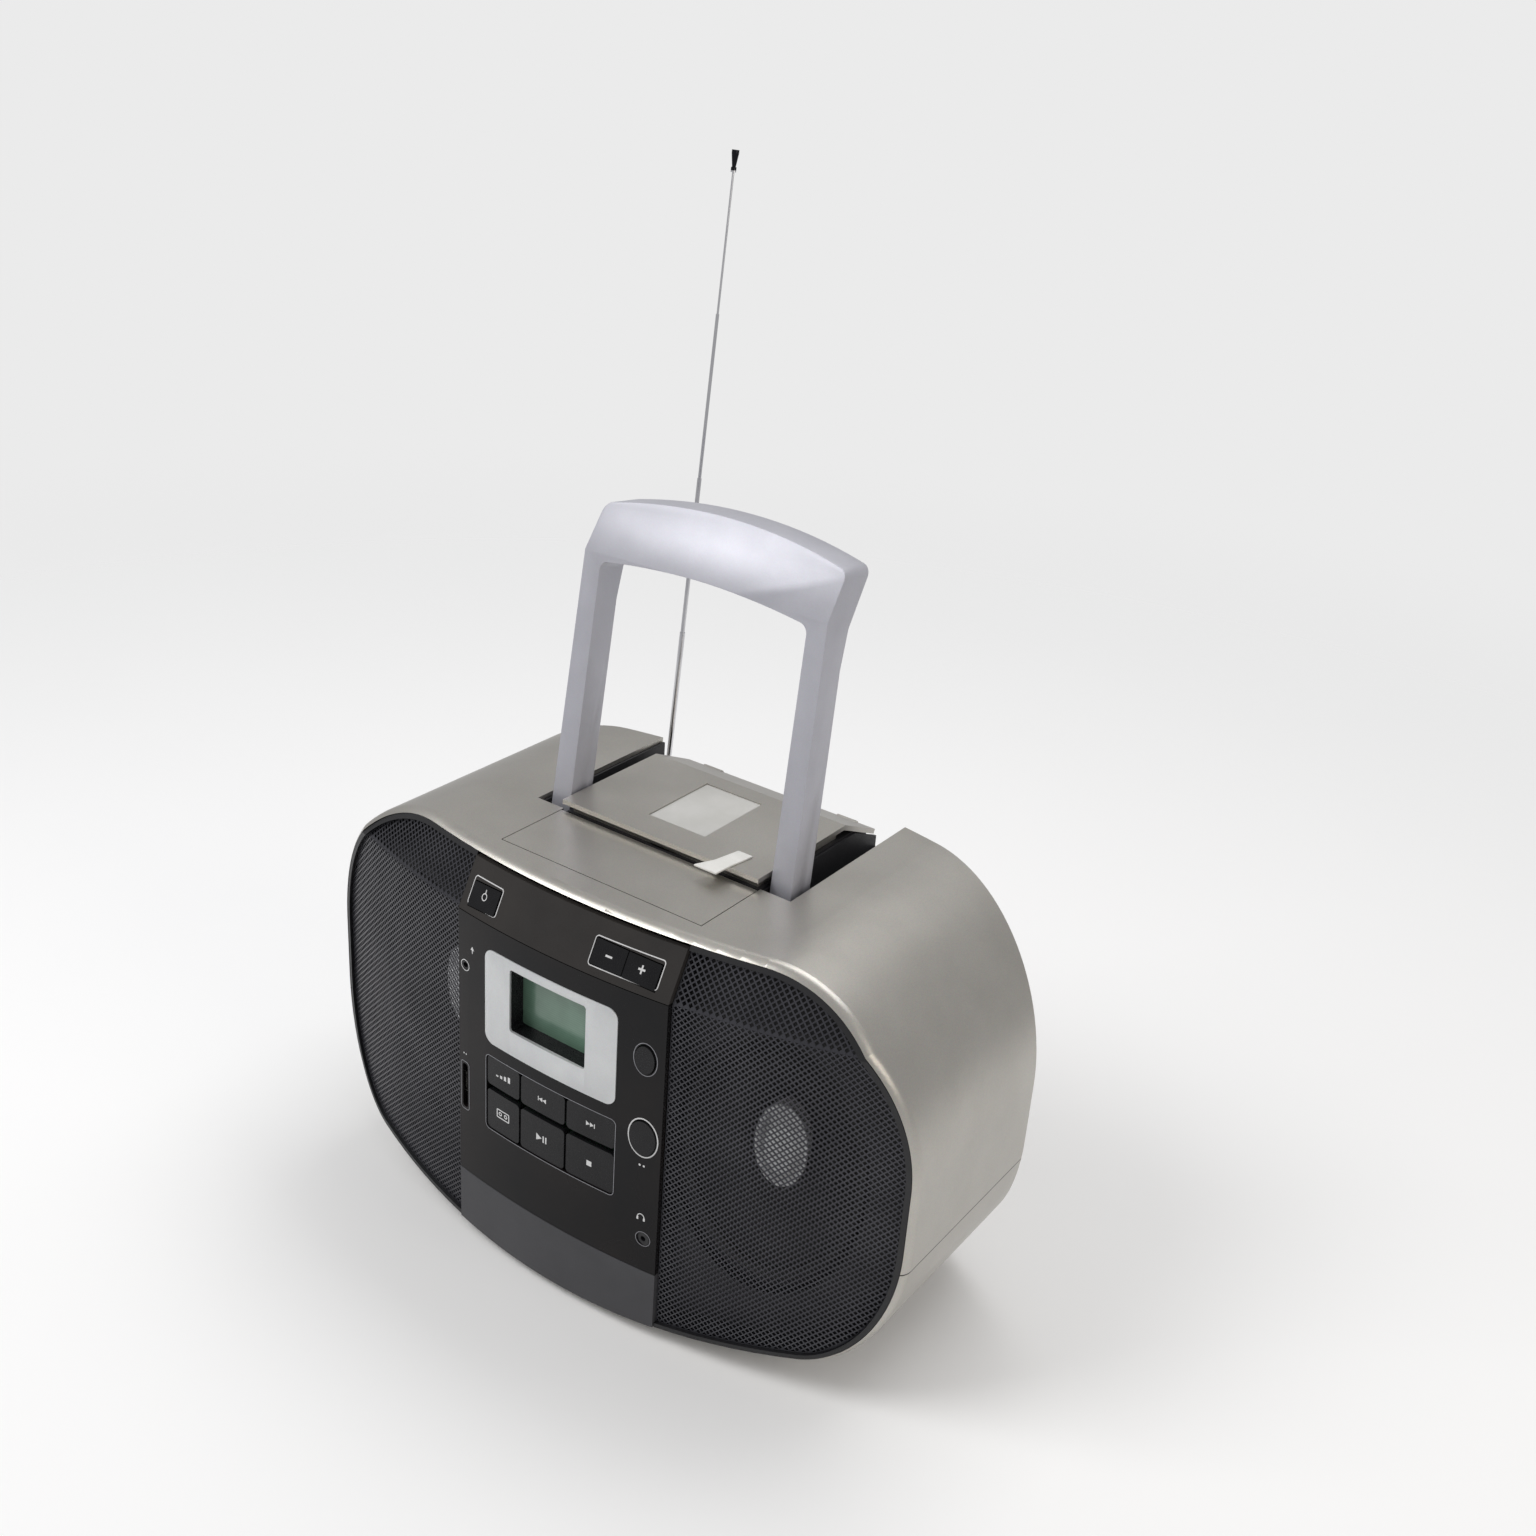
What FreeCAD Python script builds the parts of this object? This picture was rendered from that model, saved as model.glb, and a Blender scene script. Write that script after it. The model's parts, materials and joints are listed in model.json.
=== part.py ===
import FreeCAD, Part
import math
import os

V = FreeCAD.Vector
os.makedirs("parts", exist_ok=True)

# Portable radio, disc and cassette player.  Millimetres, +Z up, front faces -Y.
# Origin: middle of the width, half way through the depth, on the plane the feet stand on.

# ---- cabinet, driving sizes ----
WIDTH = 444.0
TOP_Z = 272.0
BOTTOM_Z = 2.5
BASE_FLAT_Z = 3.0         # the bowed underside is planed flat in the middle
DEPTH = 225.0
FRONT_Y = -112.0
FRONT_SAG = 44.0          # how far the front sweeps back at its ends
REAR_SAG = 46.0
TOP_CORNER_X = 100.0
TOP_CORNER_Z = 113.0
BOTTOM_CORNER_X = 54.0
BOTTOM_CORNER_Z = 96.0
BOTTOM_BOW = 19.5         # how far the underside rises from the middle to its corners
CREASE_Z = 237.6          # above this line the black front leans back
SLANT_DEG = 27.3
WALL = 3.0
EDGE_R = 9.0
SEAM_Z = 104.0            # joint between upper and lower cabinet
FIT = 0.4                 # gap round a fixed trim piece
MOVE_GAP = 0.6            # gap round a piece that moves
RUN = 0.05                # radial clearance of a running fit

# ---- front ----
BAFFLE_FRONT = 0.8        # depths below the front surface
BAFFLE_PLATE = 18.0
BAFFLE_BACK = 22.0
BAFFLE_RIM = 3.0
GRILLE_DEPTH = 3.0
GRILLE_SKIN = 1.5
PANEL_HALF = 78.6
PANEL_SKIN = 3.0
PANEL_SIDE = 2.0
GROOVE_Z = 49.4           # between control panel and chin
GROOVE_GAP = 0.5

# ---- display ----
BEZEL_X = (-54.2, 47.1)
BEZEL_Z = (157.3, 222.2)
BEZEL_PROUD = 0.5
GLASS_X = (-33.2, 25.1)
GLASS_Z = (173.7, 216.2)
TUNNEL_WALL = 1.6
BOARD_Y = -101.8          # front face of the key board
BOARD_T = 1.6
LCD_T = 5.0
LCD_LAP = 5.0

# ---- keys ----
KEY_COLUMNS = ((-53.0, -25.6), (-24.0, 10.6), (12.2, 47.0))
KEY_ROW_UPPER = (127.0, 147.0)
KEY_ROW_LOWER = (95.0, 123.0)
KEY_BACK = 5.0
KEY_R = 2.5
STEM_R = 2.0
STEM_GAP = 1.0
RING_1 = (66.0, 197.5, 6.4, 9.0)     # x, z, half width, half height
RING_2 = (66.6, 144.3, 8.8, 11.6)
STRIP_KEY_H = 15.0
STRIP_POWER_X = (-72.0, -50.0)
STRIP_VOLUME_X = (24.0, 68.0)

# ---- sockets on the front ----
PHONES = (69.5, 73.0)
LINE_IN = (-72.6, 201.0)
JACK_R = 4.2
JACK_BORE_R = 1.8
JACK_L = 14.0
USB_X = (-75.8, -71.0)
USB_Z = (98.0, 130.0)

# ---- loudspeakers ----
WOOFER_X = 136.0
WOOFER_Z = 138.4
WOOFER_RX = 60.0
WOOFER_RZ = 88.0
WOOFER_FLANGE = 6.0
WOOFER_DEPTH = 42.0
VOICE_RX = 15.0
VOICE_RZ = 27.0
THROAT_RX = 28.0          # hollow of the basket where it meets the magnet
THROAT_RZ = 32.0
WOOFER_WALL = 2.0
WOOFER_BACK = 2.0
CONE_SET = 3.0            # cone's edge behind the flange
CONE_DEPTH = 24.0
CONE_T = 1.5
MAGNET_R = 38.0
MAGNET_T = 18.0

# ---- cassette bay ----
DOOR_HALF = 74.1
DOOR_Y = (-74.4, -22.0)
DOOR_T = 2.5
DOOR_AXIS = (-22.4, 266.0)
CASSETTE_W = 102.4
CASSETTE_T = 12.6
CARRIER_WALL = 1.5
CARRIER_Y = -68.5
CARRIER_Z = 205.0
DECK_FACE_Y = -50.0       # front face of the cassette mechanism plate
HUB_PITCH = 42.5
HUB_UP = 34.5
SPINDLE_R = 3.0

# ---- handle ----
HANDLE_AXIS = (-3.0, 262.0)
HANDLE_LEAN = 7.4
ARM_DEPTH = 20.0
ARM_IN_BASE = 77.2
ARM_IN_TOP = 73.9
ARM_OUT_BASE = 91.4
ARM_OUT_TOP = 86.0
HANDLE_TOP = 195.0        # height of the grip's ends above the pivot
GRIP_BAND = 32.0
GRIP_ARCH = 10.0
PIN_R = 3.0
CHANNEL_IN = 74.6
CHANNEL_OUT = 93.8
CHANNEL_FLOOR = 250.0
CHANNEL_TOP = 269.0
CHANNEL_WALL = 1.6
CHANNEL_FRONT = -17.6

# ---- disc bay ----
DISC_Y = 44.0
WELL_R = 61.0
WELL_FLOOR = 248.0
SKIN = 2.0
DECK_HALF = 72.5
DECK_Y = -17.6
DECK_TOP = 270.0
LID_HALF = 74.0
LID_Y = (-21.3, 69.6, 106.0)
LID_Z = (279.0, 262.5)
LID_T = 3.0
LID_AXIS = (105.0, 261.0)
WINDOW_X = (-23.0, 20.0)
WINDOW_Y = (-1.0, 57.5)
DISC_Z = 256.0
LASER_X = 24.0            # lens at its innermost place

# ---- antenna ----
ANT_X = -100.0
ANT_Z = 225.0
ANT_LEAN = 5.5
ANT_Y = 114.9
ANT_RADII = (1.8, 1.4, 1.05, 0.7)
ANT_WALL = 0.35
ANT_STEP = 104.4
ANT_LAP = 12.0
ANT_TIP_L = 13.0
ANT_TIP_R = 2.3

# ---- inside and behind ----
BAY_HALF = 80.0
BAY_Y = 46.0
BAY_Z = (26.0, 96.0)
COVER_HALF = 75.0
COVER_Z = (31.0, 91.0)
COVER_T = 2.4
MAIN_BOARD_Z = 118.0
INLET = (-140.0, 60.0)
FOOT_XY = ((-120.0, -50.0), (120.0, -50.0), (-120.0, 55.0), (120.0, 55.0))
FOOT_R = 9.0
FOOT_H = 6.0
POST_XY = ((-192.0, 8.0), (192.0, 8.0), (-118.0, 84.0), (118.0, 84.0))

# ---- derived ----
REAR_Y = FRONT_Y + DEPTH
FRONT_R = ((WIDTH / 2) ** 2 + FRONT_SAG ** 2) / (2 * FRONT_SAG)
REAR_R = ((WIDTH / 2) ** 2 + REAR_SAG ** 2) / (2 * REAR_SAG)
FRONT_C = FRONT_Y + FRONT_R
REAR_C = REAR_Y - REAR_R
SLANT = math.radians(SLANT_DEG)
FAR = 400.0


# ---------------------------------------------------------------- helpers
def box(x0, x1, y0, y1, z0, z1):
    """Block between two corners."""
    return Part.makeBox(x1 - x0, y1 - y0, z1 - z0, V(x0, y0, z0))


def rod(x, y, z, axis, r, length):
    """Round bar that starts at a point and runs along an axis."""
    return Part.makeCylinder(r, length, V(x, y, z), V(*axis))


def join(shapes):
    """One solid from shapes that touch."""
    return shapes[0].multiFuse(shapes[1:]).removeSplitter()


def ellipse_bar(x, z, rx, rz, y0, y1, rx1=None, rz1=None):
    """Oval bar along Y, or an oval cone when the second pair of radii is given."""
    def ring(y, a, b):
        k = 0.5523
        p = [(a, 0), (a, b * k), (a * k, b), (0, b)]
        edges = []
        for sx, sz in ((1, 1), (-1, 1), (-1, -1), (1, -1)):
            pts = [V(x + sx * u, y, z + sz * w) for u, w in p]
            if sx * sz < 0:
                pts.reverse()
            curve = Part.BezierCurve()
            curve.setPoles(pts)
            edges.append(curve.toShape())
        return Part.Wire(edges)
    return Part.makeLoft([ring(y0, rx, rz), ring(y1, rx1 or rx, rz1 or rz)], True, True)


def rounded_bar(x0, x1, z0, z1, r, y0, y1):
    """Bar along Y with a rounded rectangular section."""
    bar = box(x0, x1, y0, y1, z0, z1)
    upright = [e for e in bar.Edges if abs(e.tangentAt(e.FirstParameter).y) > 0.99]
    return bar.makeFillet(r, upright)


def outline_prism(inset):
    """Cabinet outline seen from the front, drawn smaller by inset and run along Y."""
    hw = WIDTH / 2 - inset
    top = TOP_Z - inset
    bottom = BOTTOM_Z + inset
    tx = TOP_CORNER_X - inset
    tz = TOP_CORNER_Z - inset
    bx = BOTTOM_CORNER_X - inset
    bz = BOTTOM_CORNER_Z - inset
    k = 0.5523
    x0 = hw - bx
    z0 = bottom + BOTTOM_BOW
    bow_r = (x0 ** 2 + BOTTOM_BOW ** 2) / (2 * BOTTOM_BOW)
    beta = math.asin(x0 / bow_r)

    def curve(points):
        c = Part.BezierCurve()
        c.setPoles([V(x, -FAR, z) for x, z in points])
        return c.toShape()

    def half(s):
        shoulder = curve([(s * (hw - tx), top), (s * (hw - tx + k * tx), top),
                          (s * hw, top - tz + k * tz), (s * hw, top - tz)])
        side = Part.makeLine(V(s * hw, -FAR, top - tz), V(s * hw, -FAR, z0 + bz))
        hip = curve([(s * hw, z0 + bz), (s * hw, z0 + bz - k * bz),
                     (s * (x0 + k * bx * math.cos(beta)), z0 + k * bx * math.sin(beta)), (s * x0, z0)])
        return [shoulder, side, hip]
    lid = Part.makeLine(V(-(hw - tx), -FAR, top), V(hw - tx, -FAR, top))
    belly = Part.Arc(V(x0, -FAR, z0), V(0, -FAR, bottom), V(-x0, -FAR, z0)).toShape()
    edges = Part.sortEdges([lid, belly] + half(1) + half(-1))[0]
    return Part.Face(Part.Wire(edges)).extrude(V(0, 2 * FAR, 0))


def front_solid(depth):
    """Everything behind the front surface taken back by depth: upright below the crease, leaning above."""
    r = FRONT_R - depth
    crease = CREASE_Z - depth * math.tan(SLANT / 2)
    top = TOP_Z + 30
    low = -20.0
    points = [V(0, FRONT_C, low), V(0, FRONT_C - r, low), V(0, FRONT_C - r, crease),
              V(0, FRONT_C - r + (top - crease) * math.tan(SLANT), top), V(0, FRONT_C, top), V(0, FRONT_C, low)]
    face = Part.Face(Part.makePolygon(points))
    turned = face.revolve(V(0, FRONT_C, 0), V(0, 0, 1), 80)
    turned.rotate(V(0, FRONT_C, 0), V(0, 0, 1), -40)
    return turned


def rear_solid(depth):
    """Everything in front of the rear surface taken forward by depth."""
    r = REAR_R - depth
    return Part.makeCylinder(r, TOP_Z + 60, V(0, REAR_C, -20))


def front_layer(d0, d1):
    """Slab that follows the front between two depths."""
    return front_solid(d0).cut(front_solid(d1))


def front_y(x):
    """Y of the front surface below the crease at x."""
    return FRONT_C - math.sqrt(FRONT_R ** 2 - x ** 2)


def rear_y(x):
    """Y of the rear surface at x."""
    return REAR_C + math.sqrt(REAR_R ** 2 - x ** 2)


def on_slant(x0, x1, h, d0, d1):
    """Block square to the leaning strip, centred on its height, between two depths."""
    mid = STRIP_MID
    block = box(x0, x1, d0, d1, -h / 2, h / 2)
    block.rotate(V(0, 0, 0), V(1, 0, 0), -SLANT_DEG)
    block.translate(V(0, FRONT_Y + (mid - CREASE_Z) * math.tan(SLANT), mid))
    return block


EAR_TOP = TOP_Z - WALL - 1.0
BAY_FRONT_Y = DOOR_Y[0] - 11.0      # the front's framing stays ahead of this, clear of the swinging carrier
STRIP_TOP_Z = TOP_Z - WALL - FIT - 6.0
STRIP_MID = (CREASE_Z + STRIP_TOP_Z) / 2


# ---------------------------------------------------------------- cabinet
def cabinet_shell():
    """Hollow cabinet, open at the front, with its front rim rounded."""
    outer = outline_prism(0).common(front_solid(0)).common(rear_solid(0))
    rim = [e for e in outer.Edges if on_front_rim(e)]
    outer = outer.makeFillet(EDGE_R, rim)
    inner = outline_prism(WALL).common(rear_solid(WALL))
    return outer.cut(inner)


def on_front_rim(edge):
    """True for an edge of the front face's outline."""
    a = edge.ParameterRange
    points = [edge.valueAt(a[0] + t * (a[1] - a[0])) for t in (0.13, 0.5, 0.87)]
    front = all(p.y < 0 and abs(depth_of(p)) < 0.02 for p in points)
    mid = points[1]
    crease = abs(mid.z - CREASE_Z) < 0.01 and abs(points[0].z - points[2].z) < 0.01
    return front and not crease


def depth_of(p):
    """Depth of a point below the front surface."""
    r = math.hypot(p.x, p.y - FRONT_C)
    lean = max(0.0, p.z - CREASE_Z) * math.tan(SLANT)
    return FRONT_R - lean - r


def channel_cut():
    """Space for the two handle channels and the disc deck in the cabinet's top and back."""
    half = CHANNEL_OUT + CHANNEL_WALL + FIT
    deep = CHANNEL_FLOOR - CHANNEL_WALL - FIT
    arms = box(-half, half, CHANNEL_FRONT - CHANNEL_WALL - FIT, FAR, deep, FAR)
    keep = box(-DECK_HALF, DECK_HALF, rear_y(0) - 3 * WALL, FAR, 0, LID_Z[1] - 11.0)
    return arms.cut(keep)


def upper_cabinet():
    shell = cabinet_shell().common(box(-FAR, FAR, -FAR, FAR, SEAM_Z, FAR))
    inside = outline_prism(WALL / 2)
    posts = []
    for x, y in POST_XY:
        bar = rod(x, y, SEAM_Z, (0, 0, 1), 5.0, TOP_Z).cut(rod(x, y, SEAM_Z - 1, (0, 0, 1), 1.5, 31.0))
        posts.append(bar.common(inside))
    ears = []
    for s in (-1, 1):
        a, b = sorted((s * (DOOR_HALF - 3.0), s * (DOOR_HALF + 4.0)))
        ears.append(box(a, b, DOOR_AXIS[0] - 4.0, DOOR_AXIS[0] + 2.5, DOOR_AXIS[1] - 4.0, TOP_Z - WALL + 0.5))
    shell = join([shell] + posts)
    door = box(-DOOR_HALF - MOVE_GAP, DOOR_HALF + MOVE_GAP, DOOR_Y[0] - MOVE_GAP, 0, EAR_TOP, FAR)
    shell = join([shell.cut(door).cut(channel_cut())] + [e.cut(door) for e in ears])
    pins = rod(-FAR, DOOR_AXIS[0], DOOR_AXIS[1], (1, 0, 0), 1.5 + RUN, 2 * FAR)
    shell = shell.cut(pins.common(box(-DOOR_HALF - 1.5, DOOR_HALF + 1.5, -FAR, FAR, 0, FAR)))
    return shell.cut(rod(ANT_X, 60, ANT_Z, (0, 1, 0), 9.0 + FIT / 2, 80))


def lower_cabinet():
    shell = cabinet_shell().common(box(-FAR, FAR, -FAR, FAR, -FAR, SEAM_Z))
    inside = outline_prism(WALL / 2).common(rear_solid(WALL / 2))
    bay = box(-BAY_HALF - SKIN, BAY_HALF + SKIN, BAY_Y - SKIN, FAR, BAY_Z[0] - SKIN, BAY_Z[1] + SKIN)
    parts = [bay.common(inside)]
    for x, y in POST_XY:
        parts.append(rod(x, y, 0, (0, 0, 1), 5.0, SEAM_Z).common(inside))
    for x, y in FOOT_XY:
        parts.append(rod(x, y, FOOT_H, (0, 0, 1), FOOT_R + 2.0, 16.0))
    parts.append(box(105, 160, 8, 56, 0, 30.0).common(inside))
    ledge = rear_solid(WALL / 2).cut(rear_solid(6.0))
    ledge = ledge.common(box(-BAY_HALF, BAY_HALF, 0, FAR, *BAY_Z))
    for x in (-60, 60):
        for y in (BAY_Y + 5, BAY_Y + 45):
            parts.append(rod(x, y, BAY_Z[1] + SKIN - 0.5, (0, 0, 1), 3.0, MAIN_BOARD_Z - BAY_Z[1] - SKIN + 0.5))
    shell = join([shell] + parts)
    hollow = box(-BAY_HALF, BAY_HALF, BAY_Y, FAR, *BAY_Z).common(rear_solid(WALL))
    g = MOVE_GAP
    seat = box(-COVER_HALF - g, COVER_HALF + g, BAY_Y, FAR, COVER_Z[0] - g, COVER_Z[1] + g)
    seat = seat.cut(rear_solid(COVER_T + 0.3))
    mouth = box(-COVER_HALF + 2, COVER_HALF - 2, BAY_Y, FAR, COVER_Z[0] + 2, COVER_Z[1] - 2)
    shell = join([shell.cut(hollow), ledge]).cut(seat).cut(mouth)
    for x, y in POST_XY:
        shell = shell.cut(rod(x, y, -1, (0, 0, 1), 3.4, SEAM_Z - 14 + 1))
        shell = shell.cut(rod(x, y, 0, (0, 0, 1), 1.6, SEAM_Z + 1))
    shell = shell.cut(box(-FAR, FAR, -FAR, FAR, -1, BASE_FLAT_Z))
    x, z = INLET
    return shell.cut(box(x - 12, x + 12, 60, FAR, z - 9, z + 9))


def cabinet_screws():
    screws = []
    for x, y in POST_XY:
        head = rod(x, y, SEAM_Z - 17, (0, 0, 1), 3.0, 3.0)
        shank = rod(x, y, SEAM_Z - 14, (0, 0, 1), 1.5, 40.0)
        screws.append(head.fuse(shank).removeSplitter())
    return Part.makeCompound(screws)


def rubber_feet():
    feet = []
    for x, y in FOOT_XY:
        feet.append(rod(x, y, 0, (0, 0, 1), FOOT_R, FOOT_H))
    return Part.makeCompound(feet)


# ---------------------------------------------------------------- front
def woofer_turn(shape, side):
    """Carry a driver drawn at the middle of the front round to its own place."""
    angle = math.degrees(math.asin(WOOFER_X / FRONT_R))
    moved = shape.copy()
    moved.rotate(V(0, FRONT_C, 0), V(0, 0, 1), side * angle)
    return moved


WOOFER_SEAT_Y = FRONT_Y + BAFFLE_BACK + (WOOFER_RX + WOOFER_FLANGE) ** 2 / (2 * FRONT_R) + 0.3


def front_baffle():
    slab = outline_prism(WALL + FIT).common(front_layer(BAFFLE_FRONT, BAFFLE_BACK))
    pocket = outline_prism(WALL + FIT + BAFFLE_RIM).common(front_layer(-5, BAFFLE_PLATE))
    sides = box(-PANEL_HALF - FIT, PANEL_HALF + FIT, -FAR, FAR, -FAR, FAR)
    middle = sides.common(front_layer(-5, BAFFLE_PLATE))
    slab = slab.cut(pocket).cut(middle)
    slab = slab.cut(box(-70, 70, -FAR, 0, 22, STRIP_TOP_Z - 4))
    slab = slab.cut(box(-70, 70, BAY_FRONT_Y, 0, CREASE_Z, FAR))
    for side in (-1, 1):
        seat = ellipse_bar(0, WOOFER_Z, WOOFER_RX + 8, WOOFER_RZ + 8, FRONT_Y + BAFFLE_PLATE + 0.5, WOOFER_SEAT_Y)
        hole = ellipse_bar(0, WOOFER_Z, WOOFER_RX, WOOFER_RZ, FRONT_Y - 20, WOOFER_SEAT_Y + 20)
        slab = join([slab, woofer_turn(seat, side).cut(front_solid(-1).cut(front_solid(BAFFLE_PLATE)))])
        slab = slab.cut(woofer_turn(hole, side))
    return slab


def grille(side):
    """Curved grille with a deep rim that stands on the baffle."""
    border = WALL + FIT + BAFFLE_RIM + FIT / 2
    blank = outline_prism(border).common(front_layer(GRILLE_DEPTH, BAFFLE_PLATE))
    keep = box(PANEL_HALF + FIT, FAR, -FAR, FAR, -FAR, FAR)
    inner = outline_prism(border + 2.5).common(front_layer(GRILLE_DEPTH + GRILLE_SKIN, BAFFLE_PLATE + 5))
    inner = inner.common(box(PANEL_HALF + FIT + 2.5, FAR, -FAR, FAR, -FAR, FAR))
    shape = blank.common(keep).cut(inner)
    if side < 0:
        shape = shape.mirror(V(0, 0, 0), V(1, 0, 0))
    return shape


def panel_tray(z0, z1):
    """Front skin with two side walls that stand on the baffle, between two heights."""
    band = box(-PANEL_HALF, PANEL_HALF, -FAR, 0, z0, z1)
    body = outline_prism(WALL + FIT).common(front_layer(0, BAFFLE_PLATE)).common(band)
    half = PANEL_HALF - PANEL_SIDE
    return body.cut(front_solid(PANEL_SKIN).common(box(-half, half, -FAR, FAR, -FAR, FAR)))


def control_panel():
    tray = panel_tray(GROOVE_Z + GROOVE_GAP, CREASE_Z - GROOVE_GAP / 2)
    posts = []
    for x, z in ((-62, 62), (48, 62), (-62, 225), (55, 228)):
        posts.append(rod(x, front_y(x) + PANEL_SKIN - 0.5, z, (0, 1, 0), 3.0,
                         BOARD_Y - front_y(x) - PANEL_SKIN + 0.5))
    tray = join([tray] + posts)
    y0, y1 = FRONT_Y - 10, BOARD_Y
    tray = tray.cut(rounded_bar(BEZEL_X[0] - 0.1, BEZEL_X[1] + 0.1, BEZEL_Z[0] - 0.1, BEZEL_Z[1] + 0.1, 7.0, y0, y1))
    g = MOVE_GAP
    tray = tray.cut(rounded_bar(KEY_COLUMNS[0][0] - g, KEY_COLUMNS[-1][1] + g,
                                KEY_ROW_LOWER[0] - g, KEY_ROW_UPPER[1] + g, KEY_R + g, y0, y1))
    for x, z, rx, rz in (RING_1, RING_2):
        tray = tray.cut(ellipse_bar(x, z, rx + g, rz + g, y0, y1))
    for x, z in (PHONES, LINE_IN):
        tray = tray.cut(rod(x, y0, z, (0, 1, 0), JACK_R + 0.1 if x > 0 else 2.9, 20))
    return tray.cut(rounded_bar(USB_X[0], USB_X[1], USB_Z[0], USB_Z[1], 2.0, y0, y1))


def top_strip():
    tray = panel_tray(CREASE_Z + GROOVE_GAP / 2, STRIP_TOP_Z + 4)
    g = MOVE_GAP
    for x0, x1 in (STRIP_POWER_X, STRIP_VOLUME_X):
        tray = tray.cut(on_slant(x0 - g, x1 + g, STRIP_KEY_H + 2 * g, -20, 16))
    return tray


def chin_panel():
    return panel_tray(-10, GROOVE_Z)


def lcd_bezel():
    """Silver frame with a tunnel that leads back to the glass."""
    y0 = FRONT_Y - 5
    frame = rounded_bar(*BEZEL_X, *BEZEL_Z, 7.0, y0, 0).common(front_layer(-BEZEL_PROUD, PANEL_SKIN))
    t = TUNNEL_WALL
    tunnel = rounded_bar(GLASS_X[0] - t, GLASS_X[1] + t, GLASS_Z[0] - t, GLASS_Z[1] + t, 3.0,
                         FRONT_Y + 1.0, BOARD_Y + BOARD_T)
    shape = join([frame, tunnel.common(front_solid(0.2))])
    return shape.cut(rounded_bar(*GLASS_X, *GLASS_Z, 2.0, y0, 0))


def lcd_module():
    return box(GLASS_X[0] - LCD_LAP, GLASS_X[1] + LCD_LAP, BOARD_Y + BOARD_T, BOARD_Y + BOARD_T + LCD_T,
               GLASS_Z[0] - LCD_LAP, GLASS_Z[1] + LCD_LAP)


def key_boards():
    """Board behind the keys, with a window for the display tunnel, and the board behind the strip keys."""
    t = TUNNEL_WALL + FIT
    board = box(-69.0, 73.0, BOARD_Y, BOARD_Y + BOARD_T, 58.0, 231.0)
    board = board.cut(box(GLASS_X[0] - t, GLASS_X[1] + t, -FAR, 0, GLASS_Z[0] - t, GLASS_Z[1] + t))
    board = board.cut(rod(PHONES[0], -FAR, PHONES[1], (0, 1, 0), JACK_R + 1, FAR))
    strip = on_slant(-74.0, 74.0, 14.0, 9.4, 11.0)
    return Part.makeCompound([board, strip])


def front_key(x0, x1, z0, z1):
    """Key of the pad: follows the front, with a stem that reaches its switch."""
    cap = rounded_bar(x0, x1, z0, z1, KEY_R, FRONT_Y - 5, 0).common(front_layer(0.5, KEY_BACK))
    xm = (x0 + x1) / 2
    zm = (z0 + z1) / 2
    y0 = front_y(xm) + KEY_BACK - 1.5
    return join([cap, rod(xm, y0, zm, (0, 1, 0), STEM_R, BOARD_Y - STEM_GAP - y0)])


def ring_key(x, z, rx, rz):
    """Oval key that stands a little proud."""
    cap = ellipse_bar(x, z, rx, rz, FRONT_Y - 5, 0).common(front_layer(-1.0, KEY_BACK - 0.3))
    y0 = front_y(x) + KEY_BACK - 1.5
    end = BOARD_Y - STEM_GAP
    if end > y0 + 0.5:
        return join([cap, rod(x, y0, z, (0, 1, 0), STEM_R, end - y0)])
    return cap


def strip_key(x0, x1):
    """Key of the leaning strip."""
    xm = (x0 + x1) / 2
    sag = xm * xm / (2 * FRONT_R)
    cap = on_slant(x0, x1, STRIP_KEY_H, -10, 16).common(front_layer(-0.7, 4.0))
    stem = on_slant(xm - 2, xm + 2, 4.0, 3.0 + sag * 0.9 - 0.6, 8.4)
    return join([cap, stem])


def front_jacks():
    """Headphone socket and line-in socket."""
    made = []
    for (x, z), r in ((PHONES, JACK_R), (LINE_IN, 2.8)):
        y0 = front_y(x) + 0.2
        body = rod(x, y0, z, (0, 1, 0), r, front_y(abs(x) - r) + BAFFLE_PLATE - y0)
        made.append(body.cut(rod(x, y0 - 1, z, (0, 1, 0), JACK_BORE_R, JACK_L + 1)))
    return Part.makeCompound(made)


def usb_socket():
    """Metal shell of the data socket with its tongue."""
    x0, x1 = USB_X
    xm = (x0 + x1) / 2
    zm = (USB_Z[0] + USB_Z[1]) / 2
    y0 = front_y(x0 - 0.4) + PANEL_SKIN + 0.1
    y1 = front_y(xm) + BAFFLE_PLATE - 0.4
    shell = box(x0 - 0.4, x1 + 0.4, y0, y1, zm - 7.0, zm + 7.0)
    shell = shell.cut(box(x0, x1, y0 - 1, y1 - 2.0, zm - 6.25, zm + 6.25))
    return join([shell, box(x0 + 0.6, x0 + 2.4, y0 + 1.0, y1 - 1.0, zm - 5.5, zm + 5.5)])


# ---------------------------------------------------------------- loudspeakers
def both_woofers(shape):
    return Part.makeCompound([woofer_turn(shape, side) for side in (-1, 1)])


def basket_inside(y):
    """Half width and half height of the hollow of a driver's basket, at a depth."""
    share = (y - WOOFER_SEAT_Y) / (WOOFER_DEPTH - WOOFER_BACK)
    return (WOOFER_RX - (WOOFER_RX - THROAT_RX) * share, WOOFER_RZ - (WOOFER_RZ - THROAT_RZ) * share)


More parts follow.
